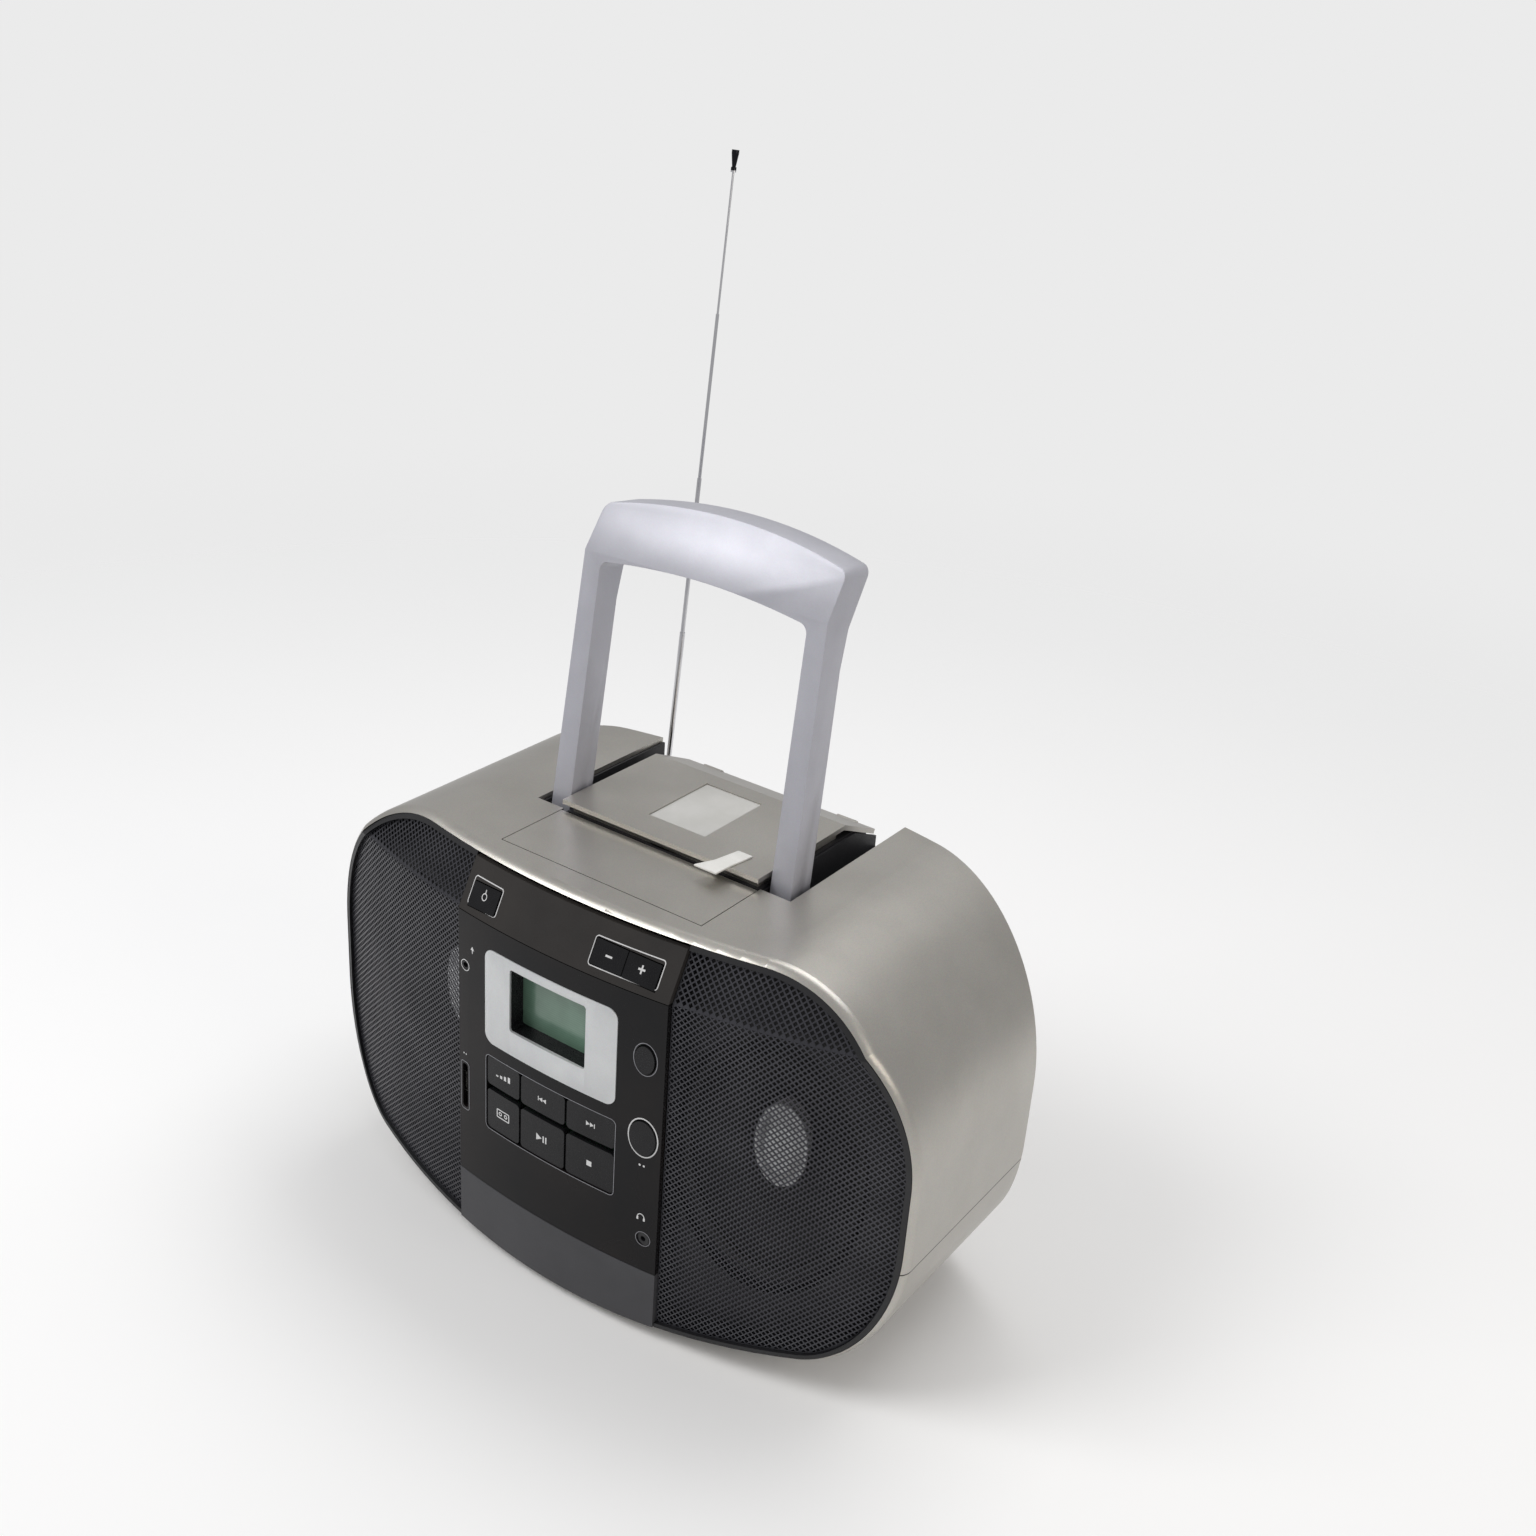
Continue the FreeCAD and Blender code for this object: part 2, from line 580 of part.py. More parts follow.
def woofer_drivers():
    """Basket with its flange and magnet."""
    y0 = WOOFER_SEAT_Y
    y1 = y0 + WOOFER_DEPTH
    t = WOOFER_WALL
    outer = ellipse_bar(0, WOOFER_Z, WOOFER_RX + t, WOOFER_RZ + t, y0, y1, THROAT_RX + t, THROAT_RZ + t)
    flange = ellipse_bar(0, WOOFER_Z, WOOFER_RX + WOOFER_FLANGE, WOOFER_RZ + WOOFER_FLANGE, y0, y0 + 2.5)
    magnet = rod(0, y1 - 0.5, WOOFER_Z, (0, 1, 0), MAGNET_R, MAGNET_T + 0.5)
    hollow = ellipse_bar(0, WOOFER_Z, *basket_inside(y0 - 1), y0 - 1, y1 - WOOFER_BACK, THROAT_RX, THROAT_RZ)
    return both_woofers(join([outer, flange, magnet]).cut(hollow))


def woofer_cones():
    """Surround and cone, one moulding, from the flange to the voice coil."""
    y0 = WOOFER_SEAT_Y + CONE_SET
    a, b = basket_inside(y0)
    y1 = y0 + CONE_DEPTH
    t = CONE_T
    outer = ellipse_bar(0, WOOFER_Z, a - 0.02, b - 0.02, y0, y1, VOICE_RX + 1, VOICE_RZ + 1)
    inner = ellipse_bar(0, WOOFER_Z, a - t, b - t, y0 - 0.01, y1 - t, VOICE_RX, VOICE_RZ)
    return both_woofers(outer.cut(inner))


def dust_caps():
    """Domed cap in the middle of each cone."""
    y0 = WOOFER_SEAT_Y + CONE_SET + CONE_DEPTH - CONE_T
    low = ellipse_bar(0, WOOFER_Z, VOICE_RX, VOICE_RZ, y0 - 10, y0)
    high = ellipse_bar(0, WOOFER_Z, VOICE_RX * 0.62, VOICE_RZ * 0.62, y0 - 14, y0 - 10, VOICE_RX, VOICE_RZ)
    return both_woofers(join([low, high]))


# ---------------------------------------------------------------- cassette bay
CARRIER_HALF = CASSETTE_W / 2 + 1.0
CARRIER_BACK = CARRIER_Y + CARRIER_WALL + CASSETTE_T + 0.6
HUB_Z = CARRIER_Z + HUB_UP
CAPSTAN = (-14.5, CARRIER_Z + 6.0)


def cassette_door():
    plate = box(-DOOR_HALF, DOOR_HALF, DOOR_Y[0], DOOR_Y[1], TOP_Z - DOOR_T, TOP_Z)
    y, z = DOOR_AXIS
    parts = [plate]
    for s in (-1, 1):
        a, b = sorted((s * 58.0, s * (DOOR_HALF - 3.5)))
        parts.append(rod(a, y, z, (1, 0, 0), 2.5, b - a))
        parts.append(box(a, b, y - 2.0, y + 0.4, z, TOP_Z - DOOR_T + 0.2))
        a, b = sorted((s * (DOOR_HALF - 4.0), s * (DOOR_HALF + 1.0)))
        parts.append(rod(a, y, z, (1, 0, 0), 1.5, b - a))
    return join(parts)


def cassette_carrier():
    """Open frame below the door that the cassette stands in."""
    w = CARRIER_WALL
    h = CARRIER_HALF
    top = TOP_Z - DOOR_T
    y0 = CARRIER_Y
    y1 = CARRIER_BACK + w
    back = box(-h - w, h + w, CARRIER_BACK, y1, CARRIER_Z - w, top)
    back = back.cut(box(-38, 38, -FAR, FAR, 0, CARRIER_Z + 47))
    parts = [back]
    for s in (-1, 1):
        a, b = sorted((s * h, s * (h + w)))
        parts.append(box(a, b, y0, y1, CARRIER_Z - w, top))
        a, b = sorted((s * 25.5, s * (h + w)))
        parts.append(box(a, b, y0, y1, CARRIER_Z - w, CARRIER_Z))
        parts.append(box(a, b, y0, y0 + w, CARRIER_Z - w, CARRIER_Z + 7))
    return join(parts)


def cassette_chassis():
    """Pressed plate with side flanges, guide studs and bearing holes."""
    y0 = DECK_FACE_Y
    plate = box(-64, 64, y0, y0 + 1.5, 178, 258)
    parts = [plate]
    for s in (-1, 1):
        a, b = sorted((s * 62.5, s * 64))
        parts.append(box(a, b, y0, DECK_Y - 1.6, 195, 250))
        parts.append(rod(s * 15.0, y0 - 4.0, 190.0, (0, 1, 0), 1.5, 4.5))
    chassis = join(parts)
    for s in (-1, 1):
        chassis = chassis.cut(rod(s * HUB_PITCH / 2, y0 - 1, HUB_Z, (0, 1, 0), 1.5 + RUN, 5))
    return chassis.cut(rod(CAPSTAN[0], y0 - 1, CAPSTAN[1], (0, 1, 0), 1.0 + RUN, 5))


def reel(side):
    """Reel table, splined spindle and shaft."""
    x = side * HUB_PITCH / 2
    y0 = DECK_FACE_Y
    table = rod(x, y0 - 2.4, HUB_Z, (0, 1, 0), 9.0, 2.0)
    spindle = rod(x, y0 - 13.5, HUB_Z, (0, 1, 0), SPINDLE_R, 11.5)
    shaft = rod(x, y0 - 1.0, HUB_Z, (0, 1, 0), 1.5, 5.0)
    parts = [table, spindle, shaft]
    for k in range(3):
        fin = box(x - 0.5, x + 0.5, y0 - 12.0, y0 - 2.4, HUB_Z, HUB_Z + SPINDLE_R + 1.0)
        fin.rotate(V(x, 0, HUB_Z), V(0, 1, 0), 120 * k)
        parts.append(fin)
    return join(parts)


def capstan_flywheel():
    x, z = CAPSTAN
    y0 = DECK_FACE_Y
    shaft = rod(x, y0 - 9.5, z, (0, 1, 0), 1.0, 24.0)
    wheel = rod(x, y0 + 5.0, z, (0, 1, 0), 16.0, 6.0)
    groove = rod(x, y0 + 7.0, z, (0, 1, 0), 17.0, 2.0).cut(rod(x, y0 + 7.0, z, (0, 1, 0), 14.8, 2.0))
    return join([shaft, wheel]).cut(groove)


def head_plate():
    """Sliding plate with the tape head."""
    y0 = DECK_FACE_Y - 0.5
    plate = box(-24, 24, y0 - 1.5, y0, 182, 201)
    head = box(-6.5, 6.5, y0 - 14.0, y0 - 1.0, 190, 200.5)
    shape = join([plate, head])
    for s in (-1, 1):
        shape = shape.cut(box(s * 15 - 1.7, s * 15 + 1.7, y0 - 3, y0 + 1, 183.2, 191.7))
    return shape


def cassette_motor():
    body = rod(38, DECK_FACE_Y + 1.5, 206, (0, 1, 0), 14.0, 22.0)
    pulley = rod(38, DECK_FACE_Y + 23.5, 206, (0, 1, 0), 4.0, 4.0)
    return join([body, pulley])


# ---------------------------------------------------------------- disc bay
def lid_section(drop, side):
    """Lid plate's side view, taken down by drop, run across the width."""
    y0, y1, y2 = LID_Y
    t = LID_T
    points = [(y0, LID_Z[0]), (y1, LID_Z[0]), (y2, LID_Z[1]), (y2 - 1.2, LID_Z[1] - t), (y1 - 1.2, LID_Z[0] - t),
              (y0, LID_Z[0] - t), (y0, LID_Z[0])]
    face = Part.Face(Part.makePolygon([V(-side, y, z - drop) for y, z in points]))
    return face.extrude(V(2 * side, 0, 0))


def under_lid(gap):
    """All the space above the lid's underside, lowered by gap."""
    y0, y1, y2 = LID_Y
    low = LID_Z[0] - LID_T - gap
    end = LID_Z[1] - LID_T - gap
    points = [(y1 - 1.2, low), (y2 + 9.0, end - (low - end) * 9 / (y2 - y1)), (y2 + 9.0, FAR), (y1 - 1.2, FAR)]
    points.append(points[0])
    return Part.Face(Part.makePolygon([V(-FAR, y, z) for y, z in points])).extrude(V(2 * FAR, 0, 0))


def cd_deck():
    """Black tray of the disc bay with its round well, front wall and hinge ears."""
    plate = box(-DECK_HALF, DECK_HALF, DECK_Y, FAR, DECK_TOP - 3, DECK_TOP)
    well = rod(0, DISC_Y, WELL_FLOOR - SKIN, (0, 0, 1), WELL_R + SKIN, DECK_TOP - WELL_FLOOR + SKIN)
    wall = box(-DECK_HALF, DECK_HALF, DECK_Y - 1.6, DECK_Y, 195, DECK_TOP - 3)
    lip = box(-DECK_HALF, DECK_HALF, DECK_Y - 0.2, DECK_Y + 2, DECK_TOP - 6, DECK_TOP - 1)
    shape = join([plate, well, wall, lip])
    shape = shape.cut(rod(0, DISC_Y, WELL_FLOOR, (0, 0, 1), WELL_R, FAR))
    shape = shape.cut(under_lid(1.2))
    shape = shape.common(rear_solid(WALL + FIT)).cut(rod(0, DISC_Y, 0, (0, 0, 1), 17.0, FAR))
    shape = shape.cut(box(12, WELL_R - 1, DISC_Y - 8, DISC_Y + 8, 0, WELL_FLOOR + 1))
    y, z = LID_AXIS
    cheeks = []
    for s in (-1, 1):
        a, b = sorted((s * 61.0, s * 67.0))
        cheeks.append(box(a, b, y - 15.0, y + 2.4, z - 6.5, z + 2.6))
        a, b = sorted((s * 51.0, s * 71.0))
        cheeks.append(box(a, b, y - 47.0, y - 9.0, z - 6.5, z + 1.0))
    clear = rod(0, DISC_Y, WELL_FLOOR, (0, 0, 1), WELL_R, FAR)
    cheeks = [c.cut(clear).cut(under_lid(1.2)) for c in cheeks]
    shape = join([shape] + cheeks)
    shape = shape.cut(rod(-68.5, y, z, (1, 0, 0), 1.5 + RUN, 137))
    return shape


def cd_lid():
    """Raised lid with a skirt, hinge barrels and an opening for the window."""
    plate = lid_section(0, LID_HALF)
    x0, x1 = WINDOW_X
    y0, y1 = WINDOW_Y
    plate = plate.cut(box(x0, x1, y0, y1, LID_Z[0] - 1.8, FAR))
    plate = plate.cut(box(x0 + 2, x1 - 2, y0 + 2, y1 - 2, 0, FAR))
    low = LID_Z[0] - LID_T
    skirt = box(-70, 70, -15.5, 66, DECK_TOP, low + 0.5).cut(box(-68, 68, -13.5, 64, 0, FAR))
    parts = [plate, skirt]
    y, z = LID_AXIS
    for s in (-1, 1):
        a, b = sorted((s * 46.0, s * 60.5))
        parts.append(rod(a, y, z, (1, 0, 0), 2.6, b - a))
        a, b = sorted((s * 60.0, s * 66.0))
        parts.append(rod(a, y, z, (1, 0, 0), 1.5, b - a))
    return join(parts)


def cd_window():
    x0, x1 = WINDOW_X
    y0, y1 = WINDOW_Y
    return box(x0 + 0.1, x1 - 0.1, y0 + 0.1, y1 - 0.1, LID_Z[0] - 1.8, LID_Z[0] - 0.8)


def lift_tab():
    """White tab on the lid, wider where a finger lifts it."""
    z0 = LID_Z[0]
    ends = ((45.0, -34.0, 8.0), (48.3, -21.0, 5.6), (51.5, -3.0, 5.2))
    right = [V(x + w, y, z0) for x, y, w in ends]
    left = [V(x - w, y, z0) for x, y, w in reversed(ends)]
    return Part.Face(Part.makePolygon(right + left + right[:1])).extrude(V(0, 0, 1.3))


def disc_clamp():
    """Clamp that holds a disc on the turntable."""
    low = LID_Z[0] - LID_T
    z0 = DISC_Z + 3.4
    bridge = box(-30, 30, DISC_Y - 4, DISC_Y + 4, low - 3.0, low)
    return join([bridge, rod(0, DISC_Y, z0, (0, 0, 1), 14.0, 3.0), rod(0, DISC_Y, z0, (0, 0, 1), 5.0, low - 2.0 - z0)])


def cd_turntable():
    table = rod(0, DISC_Y, DISC_Z - 2, (0, 0, 1), 15.0, 2.0)
    boss = Part.makeCone(7.4, 6.0, 2.4, V(0, DISC_Y, DISC_Z))
    hub = rod(0, DISC_Y, DISC_Z - 6, (0, 0, 1), 5.0, 5.0)
    shaft = rod(0, DISC_Y, 233.0, (0, 0, 1), 1.5, DISC_Z - 233.0 - 1)
    return join([table, boss, hub, shaft])


def cd_chassis():
    """Plate below the disc bay with hangers and the two rods the laser runs on."""
    plate = box(-30, 72, DISC_Y - 32, DISC_Y + 32, 238.0, 239.5)
    parts = [plate]
    for x in (-26, 50):
        for y in (DISC_Y - 28, DISC_Y + 28):
            parts.append(rod(x, y, 239.0, (0, 0, 1), 2.5, WELL_FLOOR - SKIN - 239.0))
    for x in (10.0, 69.5):
        parts.append(box(x, x + 2.0, DISC_Y - 16, DISC_Y + 16, 239.0, 245.6))
    chassis = join(parts).cut(rod(0, DISC_Y, 230, (0, 0, 1), 2.5, 20))
    rods = []
    for y in (DISC_Y - 11, DISC_Y + 11):
        bar = rod(10.0, y, 242.5, (1, 0, 0), 1.5, 61.5)
        chassis = chassis.cut(bar)
        rods.append(bar)
    return Part.makeCompound([chassis] + rods)


def laser_sled():
    x0 = LASER_X - 11.0
    sled = box(x0, x0 + 22, DISC_Y - 15, DISC_Y + 15, 240.2, 245.2)
    tower = box(x0 + 4, x0 + 18, DISC_Y - 6.5, DISC_Y + 6.5, 245.0, 249.0)
    lens = rod(x0 + 11, DISC_Y, 248.5, (0, 0, 1), 3.0, 2.5)
    shape = join([sled, tower, lens])
    for y in (DISC_Y - 11, DISC_Y + 11):
        shape = shape.cut(rod(x0 - 5, y, 242.5, (1, 0, 0), 1.5 + RUN, 40))
    return shape


def spindle_motor():
    body = rod(0, DISC_Y, 224.0, (0, 0, 1), 12.0, 14.0)
    return body.cut(rod(0, DISC_Y, 232.8, (0, 0, 1), 1.5 + RUN, 10))


# ---------------------------------------------------------------- handle
def handle_channels():
    """Trough on each side of the disc bay that takes an arm of the folded handle."""
    made = []
    w = CHANNEL_WALL
    for s in (-1, 1):
        a, b = sorted((s * (CHANNEL_IN - w), s * (CHANNEL_OUT + w)))
        block = box(a, b, CHANNEL_FRONT - w, FAR, CHANNEL_FLOOR - w, CHANNEL_TOP)
        a, b = sorted((s * CHANNEL_IN, s * CHANNEL_OUT))
        block = block.cut(box(a, b, CHANNEL_FRONT, FAR, CHANNEL_FLOOR, FAR)).common(rear_solid(0.6))
        block = block.cut(under_lid(1.2).common(box(-LID_HALF - 1, LID_HALF + 1, -FAR, FAR, 0, FAR)))
        y, z = HANDLE_AXIS
        made.append(block.cut(rod(-FAR, y, z, (1, 0, 0), PIN_R, 2 * FAR)))
    return Part.makeCompound(made)


def handle_pins():
    y, z = HANDLE_AXIS
    w = CHANNEL_WALL
    length = CHANNEL_OUT - CHANNEL_IN + 2 * w
    return Part.makeCompound([rod(s * (CHANNEL_IN - w), y, z, (s, 0, 0), PIN_R, length) for s in (-1, 1)])


def handle():
    """Bail handle: two arms and a broad grip that leans further back, drawn upright and then tipped."""
    y0, z0 = HANDLE_AXIS
    top = z0 + HANDLE_TOP
    low = z0 - ARM_DEPTH / 2

    def frame(out_base, out_top, z_low, z_top, arch, r):
        p = [V(-out_base, -FAR, z_low), V(-out_top, -FAR, z_top), V(0, -FAR, z_top + arch),
             V(out_top, -FAR, z_top), V(out_base, -FAR, z_low)]
        edges = [Part.makeLine(p[0], p[1]), Part.Arc(p[1], p[2], p[3]).toShape(), Part.makeLine(p[3], p[4]),
                 Part.makeLine(p[4], p[0])]
        bar = Part.Face(Part.Wire(edges)).extrude(V(0, 2 * FAR, 0))
        corner = [e for e in bar.Edges if abs(e.tangentAt(e.FirstParameter).y) > 0.99
                  and e.CenterOfMass.z > z_top - 1]
        return bar.makeFillet(r, corner)
    blank = frame(ARM_OUT_BASE, ARM_OUT_TOP, low, top, GRIP_ARCH, 7.0)
    gap = frame(ARM_IN_BASE, ARM_IN_TOP, low - 50, top - GRIP_BAND, GRIP_ARCH * 0.6, 6.0)
    half = ARM_DEPTH / 2
    bend = z0 + HANDLE_TOP - 27.0
    rise = GRIP_ARCH + 30
    back = rise * math.tan(math.radians(27))
    side = [(-half, low), (-half, bend), (-half + back, bend + rise), (half + 4 + back, bend + rise),
            (half + 3, bend - 6), (half, bend - 30), (half, low), (-half, low)]
    side = Part.Face(Part.makePolygon([V(-FAR, y0 + y, z) for y, z in side])).extrude(V(2 * FAR, 0, 0))
    shape = blank.cut(gap).common(side)
    corner = box(-FAR, FAR, y0 - half, y0 + half, low, z0).cut(rod(-FAR, y0, z0, (1, 0, 0), half, 2 * FAR))
    shape = shape.cut(corner).cut(rod(-FAR, y0, z0, (1, 0, 0), PIN_R + RUN, 2 * FAR))
    shape.rotate(V(0, y0, z0), V(1, 0, 0), -HANDLE_LEAN)
    return shape


# ---------------------------------------------------------------- antenna
def lean(shape):
    """Tip a shape drawn upright over the antenna's pivot to the antenna's own lean."""
    shape.rotate(V(ANT_X, ANT_Y, ANT_Z), V(1, 0, 0), -ANT_LEAN)
    return shape


def antenna_socket():
    y0 = rear_y(ANT_X) - WALL
    body = rod(ANT_X, y0 - 2, ANT_Z, (0, 1, 0), 9.0, 7.0)
    return body.cut(rod(ANT_X, y0 - 5, ANT_Z, (0, 1, 0), 4.0 + RUN, 20))


def antenna_knuckle():
    y0 = rear_y(ANT_X) - WALL
    front = y0 + 5.3
    disc = rod(ANT_X, front, ANT_Z, (0, 1, 0), 7.0, 2.8)
    shaft = rod(ANT_X, y0 - 2, ANT_Z, (0, 1, 0), 4.0, 8.0)
    parts = [disc, shaft]
    for s in (-1, 1):
        a, b = sorted((ANT_X + s * 2.4, ANT_X + s * 4.2))
        parts.append(box(a, b, front + 2.5, ANT_Y, ANT_Z - 3.5, ANT_Z + 3.5))
        parts.append(rod(a, ANT_Y, ANT_Z, (1, 0, 0), 3.5, b - a))
    parts.append(rod(ANT_X - 4.2, ANT_Y, ANT_Z, (1, 0, 0), 1.2, 8.4))
    return join(parts)


def antenna_tube(k):
    """Tube k of the telescope; the last one is a rod with a tip."""
    r = ANT_RADII[k]
    start = k * ANT_STEP + (0 if k else 2.0)
    end = (k + 1) * ANT_STEP + ANT_LAP
    last = k == len(ANT_RADII) - 1
    if last:
        end -= ANT_LAP + ANT_TIP_L - 6.0
    tube = rod(ANT_X, ANT_Y, ANT_Z + start, (0, 0, 1), r, end - start)
    if last:
        z = ANT_Z + end
        tip = [rod(ANT_X, ANT_Y, z - 0.5, (0, 0, 1), 1.7, 3.0),
               Part.makeCone(1.1, ANT_TIP_R, ANT_TIP_L - 4.5, V(ANT_X, ANT_Y, z + 2.0)),
               rod(ANT_X, ANT_Y, z + ANT_TIP_L - 2.5, (0, 0, 1), ANT_TIP_R, 2.0)]
        return lean(join([tube] + tip))
    tube = tube.cut(rod(ANT_X, ANT_Y, ANT_Z + start + (8.0 if k == 0 else -1), (0, 0, 1), r - ANT_WALL, 200))
    if k == 0:
        eye = rod(ANT_X - 2.2, ANT_Y, ANT_Z, (1, 0, 0), 3.4, 4.4)
        tube = join([tube, eye]).cut(rod(ANT_X - 9, ANT_Y, ANT_Z, (1, 0, 0), 1.2 + RUN, 18))
    return lean(tube)


# ---------------------------------------------------------------- inside and behind
def battery_cover():
    slab = rear_solid(0).cut(rear_solid(COVER_T))
    return slab.common(box(-COVER_HALF, COVER_HALF, 0, FAR, *COVER_Z))


def battery_contacts():
    plates = []
    for x in (-BAY_HALF, BAY_HALF - 1.0):
        for z in (34.0, 66.0):
            plates.append(box(x, x + 1.0, 56, 80, z, z + 22))
    return Part.makeCompound(plates)


def main_board():
    return box(-95, 95, -12, 92, MAIN_BOARD_Z, MAIN_BOARD_Z + 1.6)


def power_transformer():
    core = box(110, 155, 16, 48, 30, 68)
    coil = box(115, 150, 10, 54, 37, 61)
    return join([core, coil])


def mains_inlet():
    """Inlet for a mains lead, with two pins in a deep pocket."""
    x, z = INLET
    y1 = rear_y(x) + 0.5
    body = box(x - 12, x + 12, y1 - 18, y1 - 2, z - 9, z + 9)
    body = body.cut(box(x - 9, x + 9, y1 - 14, y1 + 1, z - 4.5, z + 4.5))
    pins = []
    for s in (-1, 1):
        pins.append(rod(x + s * 4.3, y1 - 15, z, (0, 1, 0), 1.2, 10.0))
    return join([body] + pins)


# ---------------------------------------------------------------- write
PIECES = {
    "upper_cabinet": upper_cabinet,
    "lower_cabinet": lower_cabinet,
    "front_baffle": front_baffle,
    "left_grille": lambda: grille(-1),
    "right_grille": lambda: grille(1),
    "control_panel": control_panel,
    "top_strip": top_strip,
    "chin_panel": chin_panel,
    "lcd_bezel": lcd_bezel,
    "lcd_module": lcd_module,
    "key_boards": key_boards,
    "woofer_drivers": woofer_drivers,
    "woofer_cones": woofer_cones,
    "dust_caps": dust_caps,
    "front_jacks": front_jacks,
    "usb_socket": usb_socket,
    "cassette_door": cassette_door,
    "cassette_carrier": cassette_carrier,
    "cassette_chassis": cassette_chassis,
    "cassette_motor": cassette_motor,
    "supply_reel": lambda: reel(-1),
    "takeup_reel": lambda: reel(1),
    "capstan_flywheel": capstan_flywheel,
    "head_plate": head_plate,
    "cd_deck": cd_deck,
    "cd_lid": cd_lid,
    "cd_window": cd_window,
    "lift_tab": lift_tab,
    "disc_clamp": disc_clamp,
    "cd_turntable": cd_turntable,
    "cd_chassis": cd_chassis,
    "laser_sled": laser_sled,
    "spindle_motor": spindle_motor,
    "handle_channels": handle_channels,
    "handle_pins": handle_pins,
    "handle": handle,
    "antenna_socket": antenna_socket,
    "antenna_knuckle": antenna_knuckle,
    "battery_cover": battery_cover,
    "battery_contacts": battery_contacts,
    "main_board": main_board,
    "power_transformer": power_transformer,
    "mains_inlet": mains_inlet,
    "cabinet_screws": cabinet_screws,
    "rubber_feet": rubber_feet,
    "band_key": lambda: front_key(*KEY_COLUMNS[0], *KEY_ROW_UPPER),
    "skip_back_key": lambda: front_key(*KEY_COLUMNS[1], *KEY_ROW_UPPER),
    "skip_forward_key": lambda: front_key(*KEY_COLUMNS[2], *KEY_ROW_UPPER),
    "tape_key": lambda: front_key(*KEY_COLUMNS[0], *KEY_ROW_LOWER),
    "play_key": lambda: front_key(*KEY_COLUMNS[1], *KEY_ROW_LOWER),
    "stop_key": lambda: front_key(*KEY_COLUMNS[2], *KEY_ROW_LOWER),
    "sound_key": lambda: ring_key(*RING_1),
    "surround_key": lambda: ring_key(*RING_2),
    "power_key": lambda: strip_key(*STRIP_POWER_X),
    "volume_down_key": lambda: strip_key(STRIP_VOLUME_X[0], sum(STRIP_VOLUME_X) / 2 - MOVE_GAP / 2),
    "volume_up_key": lambda: strip_key(sum(STRIP_VOLUME_X) / 2 + MOVE_GAP / 2, STRIP_VOLUME_X[1]),
}
for index in range(len(ANT_RADII)):
    PIECES[f"antenna_tube_{index + 1}"] = lambda k=index: antenna_tube(k)

for name, make in PIECES.items():
    shape = make()
    solids = shape.Solids
    if not solids or not shape.isValid():
        print("CHECK", name, "solids", len(solids), "valid", shape.isValid())
    if len(solids) == 1:
        shape = solids[0]
    shape.exportStep(f"parts/{name}.step")
    print(name, len(solids), round(shape.Volume))
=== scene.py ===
"""Looks of a portable radio, disc and cassette player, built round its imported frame."""

import json
import logging
import math
from dataclasses import dataclass, replace
from enum import Enum
from typing import Callable, Iterable

import bmesh
import bpy
from mathutils import Matrix, Vector

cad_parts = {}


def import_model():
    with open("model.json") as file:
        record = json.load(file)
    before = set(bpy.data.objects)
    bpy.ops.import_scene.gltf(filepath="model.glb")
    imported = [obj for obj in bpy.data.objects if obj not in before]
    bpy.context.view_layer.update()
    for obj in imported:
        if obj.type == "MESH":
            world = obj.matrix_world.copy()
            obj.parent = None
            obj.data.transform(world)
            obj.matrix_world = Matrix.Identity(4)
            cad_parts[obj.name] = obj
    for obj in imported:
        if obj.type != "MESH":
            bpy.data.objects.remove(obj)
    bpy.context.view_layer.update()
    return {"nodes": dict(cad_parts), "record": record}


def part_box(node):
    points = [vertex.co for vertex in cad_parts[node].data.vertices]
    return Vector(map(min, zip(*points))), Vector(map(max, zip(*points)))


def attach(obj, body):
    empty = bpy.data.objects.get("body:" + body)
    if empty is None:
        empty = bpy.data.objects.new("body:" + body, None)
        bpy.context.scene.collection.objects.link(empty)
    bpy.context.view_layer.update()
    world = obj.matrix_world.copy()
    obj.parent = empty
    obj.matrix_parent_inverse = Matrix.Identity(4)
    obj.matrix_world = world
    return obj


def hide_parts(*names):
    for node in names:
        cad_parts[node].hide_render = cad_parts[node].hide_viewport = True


log = logging.getLogger("player")
MM = 0.001
CABINET = "cabinet"
TIP_LENGTH_MM = 12.0
RING_UNIT = 0.05            # spacing of the wave texture's rings at scale 1
BAND_UNIT = 0.314           # spacing of its straight bands at scale 1
CIRCLE_POLE = 0.5523        # reach of the poles that bend a curve into a quarter circle
LONG_EDGE_MM = 12.0         # straight runs above this are cut so that they follow the bow
LONG_EDGE_CUTS = 9
MERGE_M = 2e-6
FLAT_DEG = 0.5


# ---------------------------------------------------------------- small tools
def linear(code: str, alpha: float = 1.0) -> tuple[float, float, float, float]:
    """Turn an sRGB hex colour into linear RGBA.

    Args:
        code: Six hex digits after a hash.
        alpha: The fourth number.

    Returns:
        Linear red, green, blue and alpha.
    """
    parts = [int(code[i:i + 2], 16) / 255 for i in (1, 3, 5)]
    lin = [c / 12.92 if c <= 0.04045 else ((c + 0.055) / 1.055) ** 2.4 for c in parts]
    return (lin[0], lin[1], lin[2], alpha)


